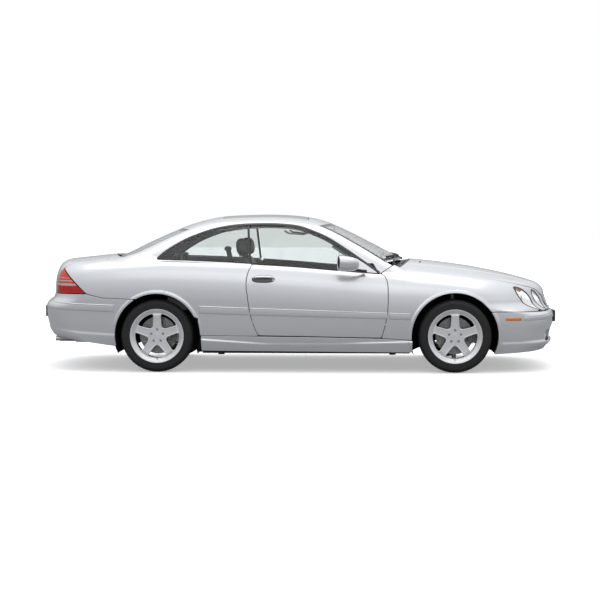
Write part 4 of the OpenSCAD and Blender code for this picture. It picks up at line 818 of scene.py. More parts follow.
# ---------------------------------------------------------------- wheel arch liners
def liner(ax, R, yin, s, tag):
    A = np.radians(np.arange(-24, 204.1, 3))
    x, z = ax + R*np.cos(A), AZ + R*np.sin(A)
    P = chart_side(Flow, s=1)(x, np.maximum(z, 170))
    yo = np.maximum(P[:, 1] - 20, yin+60)
    T_ = np.linspace(0, 1, 9)
    V, F = [], []
    for k, rr in enumerate((R, R+5)):
        for i in range(len(A)):
            for t in T_:
                # a shallow step pressed along the liner's middle
                d = 5*sstep(0.35, 0.45, t)*(1-sstep(0.6, 0.7, t))
                q = rr + d
                V.append([ax + q*math.cos(A[i]), s*(yin + (yo[i]-yin)*t), AZ + q*math.sin(A[i])])
    n, m = len(A), 9
    a = lambda k, i, j: k*n*m + i*m + j
    for i in range(n-1):
        for j in range(m-1):
            F.append([a(0,i,j), a(0,i,j+1), a(0,i+1,j+1), a(0,i+1,j)]); F.append([a(1,i,j), a(1,i+1,j), a(1,i+1,j+1), a(1,i,j+1)])
        F.append([a(0,i,0), a(0,i+1,0), a(1,i+1,0), a(1,i,0)]); F.append([a(0,i,m-1), a(1,i,m-1), a(1,i+1,m-1), a(0,i+1,m-1)])
    for j in range(m-1):
        F.append([a(0,0,j), a(1,0,j), a(1,0,j+1), a(0,0,j+1)]); F.append([a(0,n-1,j), a(0,n-1,j+1), a(1,n-1,j+1), a(1,n-1,j)])
    if s < 0: F = [f[::-1] for f in F]
    make("arch_liner_"+tag, V, F, WELL, "body", "black_plastic", node="arch_liners" if tag == "front_right" else None)
    # inner apron
    V, F = [], []
    B = np.radians(np.arange(-24, 204.1, 6))
    for k, y in enumerate((yin-6, yin-1)):
        for b in B:
            for rr in np.linspace(95, R+2, 5):
                V.append([ax + rr*math.cos(b), s*y, AZ + rr*math.sin(b)])
    n, m = len(B), 5
    for i in range(n-1):
        for j in range(m-1):
            F.append([a2(n,m,0,i,j), a2(n,m,0,i,j+1), a2(n,m,0,i+1,j+1), a2(n,m,0,i+1,j)]); F.append([a2(n,m,1,i,j), a2(n,m,1,i+1,j), a2(n,m,1,i+1,j+1), a2(n,m,1,i,j+1)])
        F.append([a2(n,m,0,i,0), a2(n,m,0,i+1,0), a2(n,m,1,i+1,0), a2(n,m,1,i,0)]); F.append([a2(n,m,0,i,m-1), a2(n,m,1,i,m-1), a2(n,m,1,i+1,m-1), a2(n,m,0,i+1,m-1)])
    for j in range(m-1):
        F.append([a2(n,m,0,0,j), a2(n,m,1,0,j), a2(n,m,1,0,j+1), a2(n,m,0,0,j+1)]); F.append([a2(n,m,0,n-1,j), a2(n,m,0,n-1,j+1), a2(n,m,1,n-1,j+1), a2(n,m,1,n-1,j)])
    if s > 0: F = [f[::-1] for f in F]
    make("apron_"+tag, V, F, WELL, "body", "black_plastic")
def a2(n, m, k, i, j): return k*n*m + i*m + j
for ax, R, yin, tag in ((FA, 408, 456, "front"), (RA, 399, 568, "rear")):
    for s, sd in ((-1, "right"), (1, "left")): liner(ax, R, yin, s, tag+"_"+sd)

# ---------------------------------------------------------------- window trim, seals, strips
ZT = lambda x: np.interp(x, [-893, 1042], [614, 547])
ZL = lambda x: np.interp(x, [-893, 1042], [543, 490])
def strip(name, x0, x1, s, body, ends=(1, 1)):
    xs = np.concatenate([[x0, x0, x0+1.5, x0+5], np.arange(x0+20, x1-12, 22), [x1-5, x1-1.5, x1, x1]])
    f = np.array([0, 0.0, 0.02, 0.08, 0.3, 0.6, 0.80, 0.845, 0.855, 0.90, 0.945, 0.955, 0.98, 1.0, 1.0])
    h = np.array([-3, 2, 5.5, 7.6, 8.8, 8.8, 8.2, 7.8, 8.8, 9.6, 8.8, 7.0, 5, 2, -3.0])
    X = np.repeat(xs[:, None], len(f), 1)
    Zz = ZL(X) + (ZT(X) - ZL(X))*f[None, :]
    end = np.ones(len(xs)); end[[0, -1]] = 0; end[[1, -2]] = 0.3; end[[2, -3]] = 0.75
    H = -3 + (h[None, :]+3)*end[:, None]
    k = {8, 9, 10}
    relief(name, chart_side(Flow, s=s), X, Zz, H, Flow, PAINT, body, "body_paint", idx=lambda i, j: 1 if j in k and 2 < i < len(xs)-4 else 0, extra=[SATIN])

WT_IN = np.stack(path_rows(WTOP, [-7.0]), -1)[:, 0, :]
def trims(s, side):
    cs = chart_side(Fb, s=s)
    U, W = path_rows(WTOP, [0.5, 1, 4, 10, 16, 20, 21.5, 22])
    relief("window_trim_"+side, cs, U, W, [-14, 0.5, 2.6, 3.4, 2.8, 1.6, 0.6, -2], Fb, GLOSSK, "body", "black_plastic")
    U, W = path_rows(WTOP, [-13, -12, -2, 5, 6])
    relief("window_seal_"+side, cs, U, W, [-24, -17, -15.5, -15, -24], Fb, RUBBER, "body", "black_plastic")
    b = np.array([[x, belt(x)] for x in np.arange(-402, 746, 14.0)])
    U, W = path_rows(b, [-1, 0, 3, 7, 9, 10])
    relief("belt_seal_door_"+side, cs, U, W, [-6, 1.4, 2.0, 1.2, -4, -9], Fb, RUBBER, side+"_door", "black_plastic")
    b = np.array([[x, belt(x)] for x in np.arange(-1262, -424, 14.0)])
    U, W = path_rows(b, [-1, 0, 3, 7, 9, 10])
    relief("belt_seal_quarter_"+side, cs, U, W, [-6, 1.4, 2.0, 1.2, -4, -9], Fb, RUBBER, "body", "black_plastic")
    t = np.linspace(0, 1, 24)
    q = np.stack([-424 - 28*t, 1000 + 343*t], -1)
    U, W = path_rows(q, [-6, -5, 0, 8, 15, 16])
    relief("centre_strip_"+side, cs, U, W, [-12, -3, -1.5, -1.5, -3, -9], Fb, GLOSSK, "body", "black_plastic")
    strip("rub_strip_rear_"+side, -893, -439, s, "body")
    strip("rub_strip_door_"+side, -427, 829, s, side+"_door")
    strip("rub_strip_front_"+side, 843, 1042, s, "body")
    # side marker on the front bumper
    us = s*np.array([56.6, 56.6, 56.8, 57.4, 59, 61, 63, 64.2, 64.6, 64.8, 64.8])
    end = np.array([0, 0.4, 0.8, 1, 1, 1, 1, 1, 0.8, 0.4, 0])
    vs = np.array([478, 478, 480, 484, 492, 500, 504, 506, 506.0]); hh = np.array([0, .4, .8, 1, 1, 1, .8, .4, 0])
    U, W = np.meshgrid(us, vs, indexing="ij")
    relief("side_marker_"+side, chart_end(F_fb, 1500, 1), U, W, -3 + 7.5*end[:, None]*hh[None, :], F_fb, AMBER, "body", "red_lamp")
both(trims)
def bump_strip(name, F, xc, sg, a, top, bot, body="body"):
    us = np.concatenate([[-a, -a, -a+0.15, -a+0.5], np.arange(-a+1.5, a-1, 1.6), [a-0.5, a-0.15, a, a]])
    f = np.array([0, 0.0, 0.03, 0.1, 0.3, 0.6, 0.80, 0.85, 0.86, 0.90, 0.94, 0.95, 0.98, 1.0, 1.0])
    h = np.array([-3, 2, 5.5, 7.6, 8.8, 8.8, 8.2, 7.8, 8.8, 9.6, 8.8, 7.0, 5, 2, -3.0])
    U = np.repeat(us[:, None], len(f), 1)
    t, b = top(np.abs(U)), bot(np.abs(U))
    W = b + (t-b)*f[None, :]
    end = np.ones(len(us)); end[[0, -1]] = 0; end[[1, -2]] = 0.3; end[[2, -3]] = 0.75
    relief(name, chart_end(F, xc, sg), U, W, -3 + (h[None, :]+3)*end[:, None], F, PAINT, body, "body_paint", idx=lambda i, j: 1 if j in (8, 9, 10) and 2 < i < len(us)-4 else 0, extra=[SATIN])
bump_strip("front_bumper_strip", F_fb, 1500, 1, 55.6, lambda u: np.interp(u, [0, 25, 56], [549, 545, 520]), lambda u: np.interp(u, [0, 25, 56], [492, 490, 478]))
bump_strip("rear_bumper_strip", F_rb, -1500, -1, 79, lambda u: np.interp(u, [0, 40, 79], [648, 644, 621]), lambda u: np.interp(u, [0, 40, 79], [590, 578, 553]))

# ---------------------------------------------------------------- door handles, mirrors
def handles(s, side):
    xs = np.linspace(-1, 1, 27)
    P, R = [], []
    for t in xs:
        x = -304 + 102*t
        P.append(on(Flow, x, 872 - 5*t*t, s, -3 + 27*(1 - abs(t)**4))); R.append(11.5 - 3.5*abs(t)**2)
    tube("handle_"+side, P, R, CHROME, side+"_door", "bright_trim", n=16, squash=0.8, up=(0, s, 0))
    # dark cup behind the grip, with a bright lower lip
    ph = np.radians(np.arange(0, 360, 9)); rh = np.array([0.02, 0.35, 0.7, 0.86, 0.93, 1.0, 1.02])
    e = lambda v: np.sign(v)*np.abs(v)**0.72
    U = -304 + 104*rh[None, :]*e(np.cos(ph))[:, None]; W = 858 + 34*rh[None, :]*e(np.sin(ph))[:, None]
    relief("handle_dish_"+side, chart_side(Flow, s=s), U, W, np.array([0.8, 0.8, 1.0, 2.0, 2.6, 1.6, -4]) + 0*U, Flow, GLOSSK, side+"_door", "black_plastic", closed_u=True)
    lathe("handle_lock_"+side, on(Flow, -214, 846, s, 0), (0, s, 0), [(9, -3), (9, 2.5), (7.5, 3.6), (1, 3.8)], CHROME, side+"_door", "bright_trim", n=24)
both(handles)

def mirror(s, side):
    V, F = [], []
    n = 40
    X = [418, 396, 386, 380, 379, 384, 400, 425, 455, 485, 515, 540, 560, 573, 580, 582]
    S = [0.78, 0.80, 0.85, 0.90, 0.94, 0.97, 1.0, 1.01, 1.0, 0.965, 0.90, 0.80, 0.64, 0.46, 0.25, 0.04]
    for x, k in zip(X, S):
        for i in range(n):
            q = 2*math.pi*i/n; c, sn = math.cos(q), math.sin(q)
            e = 0.86
            yy = math.copysign(abs(c)**e, c); zz = math.copysign(abs(sn)**e, sn)
            f = (x-379)/203.0
            V.append([x + 26*(yy*0.5+0.5)*(1-f) - 10, s*(994 + 80*k*yy - 22*f*f), 1006 + 69*k*zz + 6*yy*k - 12*f])
    for j in range(len(X)-1):
        for i in range(n):
            f = [j*n+i, (j+1)*n+i, (j+1)*n+(i+1) % n, j*n+(i+1) % n]
            F.append(f if s > 0 else f[::-1])
    F.append([(len(X)-1)*n+i for i in range(n)][::(1 if s < 0 else -1)])
    glass = [i for i in range(n)][::(1 if s > 0 else -1)]
    idx = [1 if j < 2 else 0 for j in range(len(X)-1) for i in range(n)] + [0, 2]
    F.append(glass)
    make("mirror_head_"+side, V, F, [PAINT, BLACK, CHROME], side+"_door", "body_paint", idx=idx, node=side+"_mirror")
    P = [(505, s*940, 952), (545, s*908, 944), (590, s*876, 935), (628, s*850, 928)]
    tube("mirror_arm_"+side, P, [24, 20, 20, 26], BLACK, side+"_door", "black_plastic", n=16, squash=0.62, up=(0, 0, 1))
    us = np.linspace(0, 1, 14); vs = np.linspace(0, 1, 4)
    tri = np.array([[470, 934], [748, 908], [690, 950], [612, 1004], [540, 1048]], float)
    sp = smooth_line(np.vstack([tri]), 1, closed=True)
    panel("mirror_sail_"+side, chart_side(Fb, s=s), np.arange(462, 756, 6.0), np.arange(898, 1056, 6.0), lambda P: sdf(tri, P[..., 0], P[..., 2]) - 2, Ftop, PAINT, side+"_door", "body_paint", depth=16, r=2, back=BLACK, inset=-1.0)
    # repeater lamp across the housing's front
    V, F = [], []
    for i, t in enumerate(np.linspace(-1, 1, 15)):
        for (dx, dz) in ((0, -6), (3.5, -4), (5, 0), (3.5, 4), (0, 6)):
            y = 1000 + 52*t
            V.append([547 - 26*t*t + dx, s*y, 1002 + 5*t + dz])
    for i in range(14):
        for j in range(4):
            f = [i*5+j, i*5+j+1, (i+1)*5+j+1, (i+1)*5+j]
            F.append(f if s > 0 else f[::-1])
        f = [i*5, (i+1)*5, (i+1)*5+4, i*5+4]; F.append(f if s > 0 else f[::-1])
    F.append([0, 4, 3, 2, 1][::s]); F.append([70, 71, 72, 73, 74][::s])
    make("mirror_repeater_"+side, V, F, AMBER, side+"_door", "red_lamp")
both(mirror)

# ---------------------------------------------------------------- lamps
def oval_path(outer, grow=0.0, n=72):
    c = (600., 668.) if outer else (428., 655.)
    a, b = (64., 112.) if outer else (56., 92.)
    w = math.radians(17 if outer else 20)
    t = np.arange(n)*2*np.pi/n
    u, v = (a+grow)*np.cos(t), (b+grow)*np.sin(t)
    return np.stack([c[0] + u*math.cos(w) + v*math.sin(w), c[1] + v*math.cos(w) - u*math.sin(w)], -1)
def lamps(s, side):
    for outer, nm in ((True, "outer"), (False, "inner")):
        cf0 = chart_front(Flow)
        def cf(u, v, s=s): return cf0(u*s, v)
        c = (600., 668.) if outer else (428., 655.)
        rng_y = np.arange(c[0]-110, c[0]+112, 6.0); rng_z = np.arange(c[1]-120, c[1]+124, 6.0)
        panel("lamp_cover_%s_%s" % (nm, side), cf, rng_y, rng_z, lambda P: -oval(P[..., 1], P[..., 2], outer, -3), Flow, CLEAR, "body", "lamp_glass", depth=4, r=1.0, back=CLEAR, node="headlamps" if (outer and s < 0) else None)
        pth = oval_path(outer, -2.5)
        U, W = path_rows(pth, [-3, -2, 1, 3.5, 5.0, 6], closed=True)
        relief("lamp_ring_%s_%s" % (nm, side), cf, U, W, [-3, 1.0, 2.2, 1.8, -1.0, -16], Flow, GLOSSK, "body", "black_plastic", closed_u=True)
        # bowl
        rho = np.array([0.02, 0.2, 0.4, 0.6, 0.75, 0.88, 0.97, 1.0])
        ring = oval_path(outer, -4, 60)
        U = c[0] + (ring[:, None, 0]-c[0])*rho[None, :]; W = c[1] + (ring[:, None, 1]-c[1])*rho[None, :]
        P = cf(U, W)
        P[..., 0] -= 10 + 78*(1-rho[None, :]**2)**0.8
        n, m = U.shape; F = []
        for i in range(n):
            k = (i+1) % n
            for j in range(m-1):
                f = [i*m+j, i*m+j+1, k*m+j+1, k*m+j]; F.append(f)
        p = P.reshape(-1, 3); f0 = F[3]
        if np.cross(p[f0[1]]-p[f0[0]], p[f0[2]]-p[f0[0]])[0] < 0: F = [f[::-1] for f in F]
        ids = [1 if (outer and 8 <= i < 24 and j > 3) else 0 for i in range(n) for j in range(m-1)]
        make("lamp_bowl_%s_%s" % (nm, side), p, F, [REFL, AMBER], "body", "bright_trim", idx=ids)
        o = cf(np.array([c[0]]), np.array([c[1]]))[0]
        lathe("lamp_bulb_%s_%s" % (nm, side), (o[0]-82, o[1], o[2]-4), (1, 0.12*s, 0), [(12, 0), (40, 2), (41, 18), (37, 26), (36, 27), (33, 36), (25, 43), (14, 47), (1, 48.5)] if outer else [(9, 0), (28, 3), (30, 14), (12, 17), (12, 30), (9, 36), (1, 39)], CLEAR if outer else CHROME, "body", "lamp_glass", n=32)
    ct = chart_caps(Flow, 550, s=s)
    def gt(P):
        x, y, z = P[..., 0], np.abs(P[..., 1]), P[..., 2]
        return np.minimum(sdf(TAILP, x, z), y - pl(lid_side[::-1], x) - 4) - 2
    def bands(C):
        t = (C[:, 2] - 718)/244.0
        f = sstep(0, 60, C[:, 0] + 1960)   # nothing
        out = np.zeros(len(C), int)
        for a, b, k in ((0.285, 0.30, 3), (0.30, 0.385, 2), (0.385, 0.46, 1), (0.46, 0.50, 2), (0.50, 0.58, 1), (0.58, 0.605, 2), (0.605, 0.86, 1)):
            out[(t >= a) & (t < b)] = k
        return out
    def stp(V):
        t = (V[:, 2] - 718)/244.0
        h = np.zeros(len(V))
        for a in (0.30, 0.385, 0.48, 0.60): h -= 1.6*np.exp(-((t-a)/0.012)**2)
        return h
    panel("tail_lamp_"+side, ct, np.arange(-2030-15*60, -1880, 8.0), np.arange(5, 40, 0.32), gt, Flow, RED, "body", "red_lamp", depth=26, r=2, back=REFL, bands=bands, extra=[ORANGE, WHITEL, GLOSSK], relief=stp, node="tail_lamps" if s < 0 else None)
both(lamps)

# ---------------------------------------------------------------- grille
GR = smooth_line(np.array([[-240, 729], [0, 734], [240, 729], [274, 712], [272, 668], [236, 590], [205, 574], [0, 570], [-205, 574], [-236, 590], [-272, 668], [-274, 712]]), 8, closed=True)
cfr = chart_front(Flow)
U, W = path_rows(GR, [-10, -9, -4, 2, 7, 8.5, 9], closed=True)
relief("grille_frame", cfr, U, W, [-22, 2, 6.5, 7, 3.5, 0, -12], Flow, CHROME, "hood", "bright_trim", closed_u=True, node="grille")
def gspan(z):
    c = GR[np.abs(GR[:, 1]-z) < 14]; return np.abs(c[:, 0]).max() - 5 if len(c) else 200
for i in range(5):
    z = 598 + 27*i
    yl = np.interp(z, [580, 592, 668, 712, 724], [205, 234, 268, 270, 262])
    U = np.repeat(np.linspace(-yl, yl, 40)[:, None], 8, 1)
    W = z + np.array([-8, -7.5, -5, 0, 4, 6, 6.5, 7.0])[None, :] + 0*U
    relief("grille_slat_%d" % (i+1), cfr, U, W, np.array([-26, -8, -2, 1.5, 0.5, -3, -8, -26])+0*U, Flow, CHROME, "hood", "bright_trim")
U = np.repeat(np.array([-6, -5.5, -3, 0, 3, 5.5, 6])[:, None], 30, 1); W = np.repeat(np.linspace(572, 730, 30)[None, :], 7, 0)
relief("grille_bar", cfr, U, W, np.array([-26, -4, 1.5, 3, 1.5, -4, -26])[:, None]+0*U, Flow, CHROME, "hood", "bright_trim")
panel("grille_back", cfr, np.arange(-282, 283, 9.0), np.arange(560, 745, 8.0), lambda P: sdf(GR, P[..., 1], P[..., 2]) + 4, Flow, BLACK, "hood", "black_plastic", depth=6, r=0.5, back=BLACK, inset=30)

# ---------------------------------------------------------------- intakes, fog lamps
cfb = chart_end(F_fb, 1500, 1)
panel("intake_back", cfb, np.arange(-29, 29.1, 0.9), np.arange(280, 376, 8.0), None, F_fb, BLACK, "body", "black_plastic", depth=6, r=0.5, back=BLACK, inset=42)
for i in range(3):
    U = np.repeat(np.linspace(-26.5, 26.5, 50)[:, None], 7, 1); W = 304 + 22*i + np.array([-5, -4.6, -2, 0, 2, 4.6, 5])[None, :] + 0*U
    relief("intake_slat_%d" % (i+1), cfb, U, W, np.array([-40, -14, -10, -9, -10, -14, -40])+0*U, F_fb, BLACK, "body", "black_plastic")
def fog(s, side):
    panel("fog_tray_"+side, cfb, s*np.arange(26, 46.1, 1.0)[::s] if s > 0 else np.arange(-46, -25.9, 1.0), np.arange(278, 404, 8.0), None, F_fb, BLACK, "body", "black_plastic", depth=5, r=0.5, back=BLACK, inset=50)
    p = cfb(np.array([s*37.5]), np.array([334.0]))[0]
    a = unit(np.array([0.95, 0.31*s, 0.0]))
    o = p - a*34
    lathe("fog_lamp_"+side, o, a, [(40, 0), (41, 10), (40, 18), (37, 20), (35, 16), (33, 12), (1, 4)], CHROME, "body", "bright_trim", n=40)
    lathe("fog_glass_"+side, o+a*12, a, [(35, 0), (35, 3), (30, 6), (20, 8.5), (10, 9.6), (1, 10)], CLEAR, "body", "lamp_glass", n=40)
    q = cfb(np.array([s*30.5]), np.array([342.0]))[0]
    tube("fog_blade_"+side, [q + np.array([-30, 0, -40]), q + np.array([-26, 0, 0]), q + np.array([-34, 0, 40])], 9, SATIN, "body", "bright_trim", n=12, squash=0.5, up=(1, 0, 0))
both(fog)

# ---------------------------------------------------------------- cowl, wipers, washer jets, boot strip
def g_cowl(P):
    x, y = P[..., 0], np.abs(P[..., 1])
    return np.minimum(np.minimum(x - shield_base(y) + 26, hood_rear(y) + 46 - x), 712 - y)
panel("cowl_panel", chart_top(Flow, lo=600), np.arange(790, 1125, 9.0), np.arange(-712, 713, 12.0), g_cowl, Flow, BLACK, "body", "black_plastic", depth=5, r=1, back=BLACK, inset=15, node="cowl")
for k in range(7):
    y0 = -330 + 110*k
    P = [on_top(Flow, shield_base(abs(y))+40, y, -12, 600)[0] for y in np.linspace(y0-44, y0+44, 12)]
    tube("cowl_rib_%d" % (k+1), P, 5, BLACK, "body", "black_plastic", n=10, squash=0.7)
def wiper(k, px, py, y0, y1, dx):
    pts = [on_top(Ftop, shield_base(abs(y)) - dx - 10*math.sin(math.pi*(y-y0)/(y1-y0)), y, 9, 600)[0] for y in np.linspace(y0, y1, 26)]
    tube("wiper_blade_%d" % k, pts, 7, RUBBER, "body", "black_plastic", n=10, squash=1.5, up=(0, 0, 1))
    mid = pts[13]; o, N = on_top(Flow, px, py, -6, 600)
    top_ = np.array(o) + np.array([0, 0, 13.0])
    path = [top_ + (mid + np.array([0, 0, 10]) - top_)*t + np.array([0, 0, 4*math.sin(math.pi*t)]) for t in np.linspace(0, 1, 12)]
    tube("wiper_arm_%d" % k, path, np.interp(np.linspace(0, 1, 12), [0, 0.3, 1], [12, 8, 5]), BLACK, "body", "black_plastic", n=10, squash=0.6)
    lathe("wiper_pivot_%d" % k, o, (0, 0, 1), [(15, 0), (15, 14), (13, 20), (1, 21)], BLACK, "body", "black_plastic", n=24)
wiper(1, 893, -552, -620, -40, 34); wiper(2, 984, 60, 40, 640, 40)
for s, sd in ((-1, "right"), (1, "left")):
    o, N = on_top(F_hood, 1150, s*330, -2)
    lathe("washer_jet_"+sd, o, N, [(14, 0), (14, 3), (11, 8), (5, 11), (1, 11.5)], BLACK, "hood", "black_plastic", n=20, squash=0.6)
a_up = chart_tail(Flow)
U = np.repeat(np.linspace(-230, 230, 40)[:, None], 8, 1); W = 88.0 + np.array([-1.1, -1.0, -0.7, -0.2, 0.3, 0.8, 1.0, 1.1])[None, :] + 0*U
e = np.ones(40); e[[0, -1]] = 0; e[[1, -2]] = 0.7
relief("boot_strip", a_up, U, W, -2 + (np.array([0, 3, 7, 9, 9, 7, 3, 0])[None, :])*e[:, None], Flow, CHROME, "trunk_lid", "bright_trim")

# ---------------------------------------------------------------- plates (blank)
def plate_piece(name, F, xc, sg, z0, z1, yh, xf, node=None):
    """flat plate at x = xf on a carrier that reaches back into the bumper"""
    c = chart_end(F, xc, sg); us = np.linspace(-35, 35, 281)
    rc = 9.0; B = []
    for cy, cz, a0 in ((yh-rc, z0+rc, -90), (yh-rc, z1-rc, 0), (-yh+rc, z1-rc, 90), (-yh+rc, z0+rc, 180)):
        for k in range(7):
            t = math.radians(a0 + 15*k); B.append((cy + rc*math.cos(t), cz + rc*math.sin(t)))
    out = []
    n = len(B)
    for i in range(n):                                    # more points along the long sides, so the carrier follows the curve
        p, q = B[i], B[(i+1) % n]; m = 12 if abs(p[0]-q[0]) > 100 else 1
        out += [(p[0]+(q[0]-p[0])*k/m, p[1]+(q[1]-p[1])*k/m) for k in range(m)]
    B = np.array(out); n = len(B)
    def back(y, z):
        P = c(us, np.full_like(us, z)); o = np.argsort(P[:, 1])
        return float(np.interp(y, P[o, 1], P[o, 0])) - sg*4.0
    xb = np.array([back(y, z) for y, z in B])
    def loop(x, inset):
        k = 1 - inset/np.array([yh, 0.5*(z1-z0)]); return np.stack([np.broadcast_to(x, (n,)), B[:, 0]*k[0], (B[:, 1]-(z0+z1)/2)*k[1] + (z0+z1)/2], -1)
    def lofted(nm, rings, mat, slot, nd=None):
        V = np.concatenate(rings); fc = []
        for j in range(len(rings)-1):
            for i in range(n):
                k = (i+1) % n; f = [j*n+i, j*n+k, (j+1)*n+k, (j+1)*n+i]; fc.append(f if sg > 0 else f[::-1])
        e = len(rings)-1; fc.append([e*n+i for i in range(n)][::(1 if sg > 0 else -1)]); fc.append(list(range(n))[::(-1 if sg > 0 else 1)])
        return make(nm, V, fc, mat, "body", slot, node=nd, smooth=False)
    lofted(name, [loop(xb, 3), loop(xf-sg*6.5, 3), loop(xf-sg*5.0, 1.5), loop(xf-sg*5.0, 5)], BLACK, "black_plastic", node)
    lofted(name.replace("_carrier", ""), [loop(xf-sg*5.2, 3.5), loop(xf-sg*1.6, 3.0), loop(xf-sg*0.4, 4.0), loop(xf-sg*0.4, 7.0), loop(xf-sg*1.2, 8.5)], PLATE, "plate_white")
    for k, y in ((1, -89), (2, 89)):
        lathe(name.replace("_carrier", "_screw_%d" % k), (xf-sg*1.4, y, (z0+z1)/2), (sg, 0, 0), [(5.6, 0), (5.6, 1.2), (4.4, 2.2), (2.4, 2.5), (2.1, 1.4), (0.3, 1.4)], SATIN, "body", "bare_metal", n=16)
plate_piece("front_plate_carrier", F_fb, 1500, 1, 430, 542, 258, 2444, node="plate_carriers")
plate_piece("rear_plate_carrier", F_rb, -1370, -1, 470, 582, 262, -2440)

# ---------------------------------------------------------------- padded seats
def block(cx, cy, cz, a, b, c, n=26, e=0.32):
    """rounded block: points on a cube pushed towards a superellipsoid"""
    t = np.linspace(-1, 1, n); V, F = [], []
    for ax in range(3):
        for sg in (-1, 1):
            g0, g1 = np.meshgrid(t, t, indexing="ij")
            P = np.zeros((n, n, 3)); P[..., ax] = sg; P[..., (ax+1) % 3] = g0; P[..., (ax+2) % 3] = g1
            off = len(V)*1
            base = sum(len(v) for v in V)
            V.append(P.reshape(-1, 3))
            for i in range(n-1):
                for j in range(n-1):
                    f = [base+i*n+j, base+(i+1)*n+j, base+(i+1)*n+j+1, base+i*n+j+1]
                    F.append(f if sg > 0 else f[::-1])
    V = np.concatenate(V)
    p = 2/e
    r = (np.abs(V)**p).sum(1)**(1/p)
    V = V/r[:, None]
    key = {}; m = np.zeros(len(V), int); W = []
    for i, v in enumerate(np.round(V, 5)):
        k = tuple(v)
        if k not in key: key[k] = len(W); W.append(V[i])
        m[i] = key[k]
    W = np.array(W); F = [[m[i] for i in f] for f in F]
    F = [f for f in F if len(set(f)) == 4]
    return W*np.array([a, b, c]) + np.array([cx, cy, cz]), F

def puffed(V, F, voxel=7.0, cap=24.0, pressure=4.0):
    """blown up a little with the cloth solver, so that the skin is taut over its filling"""
    me = bpy.data.meshes.new("pad"); me.from_pydata((V*0.001).tolist(), [], [list(map(int, f)) for f in F]); me.update()
    ob = bpy.data.objects.new("pad", me); bpy.context.scene.collection.objects.link(ob)
    bpy.context.view_layer.objects.active = ob
    r = ob.modifiers.new("r", "REMESH"); r.mode = "VOXEL"; r.voxel_size = voxel*0.001
    dg = bpy.context.evaluated_depsgraph_get()
    m2 = bpy.data.meshes.new_from_object(ob.evaluated_get(dg)); ob.modifiers.clear(); ob.data = m2
    n = len(m2.vertices); co = np.empty(n*3); m2.vertices.foreach_get("co", co); base = co.reshape(-1, 3)*1000
    c = ob.modifiers.new("c", "CLOTH"); st = c.settings
    st.use_pressure = True; st.uniform_pressure_force = pressure; st.effector_weights.gravity = 0; st.quality = 4; st.mass = 0.3
    st.tension_stiffness = st.compression_stiffness = 25; st.shear_stiffness = 15
    sc = bpy.context.scene; a, b = sc.frame_start, sc.frame_end
    sc.frame_start, sc.frame_end = 1, 20
    for f in range(1, 17): sc.frame_set(f)
    ev = ob.evaluated_get(bpy.context.evaluated_depsgraph_get()).to_mesh()
    co = np.empty(n*3); ev.vertices.foreach_get("co", co); new = co.reshape(-1, 3)*1000
    faces = [list(p.vertices) for p in m2.polygons]
    sc.frame_set(1); sc.frame_start, sc.frame_end = a, b
    bpy.data.objects.remove(ob)
    d = new - base; L = np.linalg.norm(d, axis=1, keepdims=True)
    d *= np.minimum(1, cap/np.maximum(L, 1e-6))
    if not np.isfinite(d).all(): d = np.zeros_like(base)
    return base + d, faces

def vnormals(V, F):
    N = np.zeros_like(V)
    F4 = np.array([f if len(f) == 4 else list(f)+[f[-1]] for f in F])
    n = np.cross(V[F4[:, 2]]-V[F4[:, 0]], V[F4[:, 3]]-V[F4[:, 1]])
    for k in range(4): np.add.at(N, F4[:, k], n)
    return unit(N)
def stitched(V, F, seams, d=5.0, w=7.0):
    N = vnormals(V, F); h = np.zeros(len(V))
    for fn in seams: h = np.maximum(h, np.exp(-(fn(V)/w)**2))
    return V - N*(h*d)[:, None]
def emit_pad(name, V, F, body, node=None, mirror=False):
    if mirror: V = V*np.array([1, -1, 1]); F = [f[::-1] for f in F]
    o = make(name, V, F, LEATHER, body, "interior_leather", node=node)
    return o

# front seats, built for the left one and mirrored
def bend_base(V):
    x, y, z = V[:, 0].copy(), V[:, 1]-370, V[:, 2].copy()
    top_ = sstep(-10, 40, z-390)
    z += top_*(34*sstep(150, 235, np.abs(y)) - 10*(1-sstep(0, 130, np.abs(y)))) + top_*22*sstep(-60, 200, x)
    return np.stack([x, V[:, 1], z], 1)
V, F = block(-65, 370, 392, 262, 252, 60, e=0.30)
V, F = puffed(bend_base(V), F, 7.0, 16)
SB = stitched(V, F, [lambda V: np.abs(np.abs(V[:, 1]-370) - 168) + np.maximum(0, 400 - V[:, 2])] + [lambda V, x=x: np.abs(V[:, 0]-x) + np.maximum(0, np.abs(V[:, 1]-370) - 166)*0.8 + np.maximum(0, 405 - V[:, 2]) for x in (-190, -130, -70, -10, 50, 110)])
SBF = F
V, F = block(0, 370, 0, 58, 244, 330, e=0.30)
def bend_back(V):
    u, y, w = V[:, 0].copy(), V[:, 1]-370, V[:, 2].copy()
    f = (w+330)/660
    y2 = y*(1 - 0.16*sstep(0.45, 1.0, f))
    front = sstep(0, 40, u)
    u = u + front*(38*sstep(140, 235, np.abs(y))*(1-sstep(0.7, 1, f)) - 8*(1-sstep(0, 120, np.abs(y)))) - 12*sstep(0.6, 1.0, f)*front
    u = u + 16*np.sin(np.pi*f)*0.6
    a = math.radians(19.5)
    x = -452 + u*math.cos(a) - w*math.sin(a); z = 740 + w*math.cos(a) + u*math.sin(a)
    return np.stack([x, y2+370, z], 1)
V, F = puffed(bend_back(V), F, 7.0, 16)
def bk(V):
    a = math.radians(19.5); w = (V[:, 2]-740)*math.cos(a) - (V[:, 0]+452)*math.sin(a); u = (V[:, 0]+452)*math.cos(a) + (V[:, 2]-740)*math.sin(a)
    return u, V[:, 1]-370, w
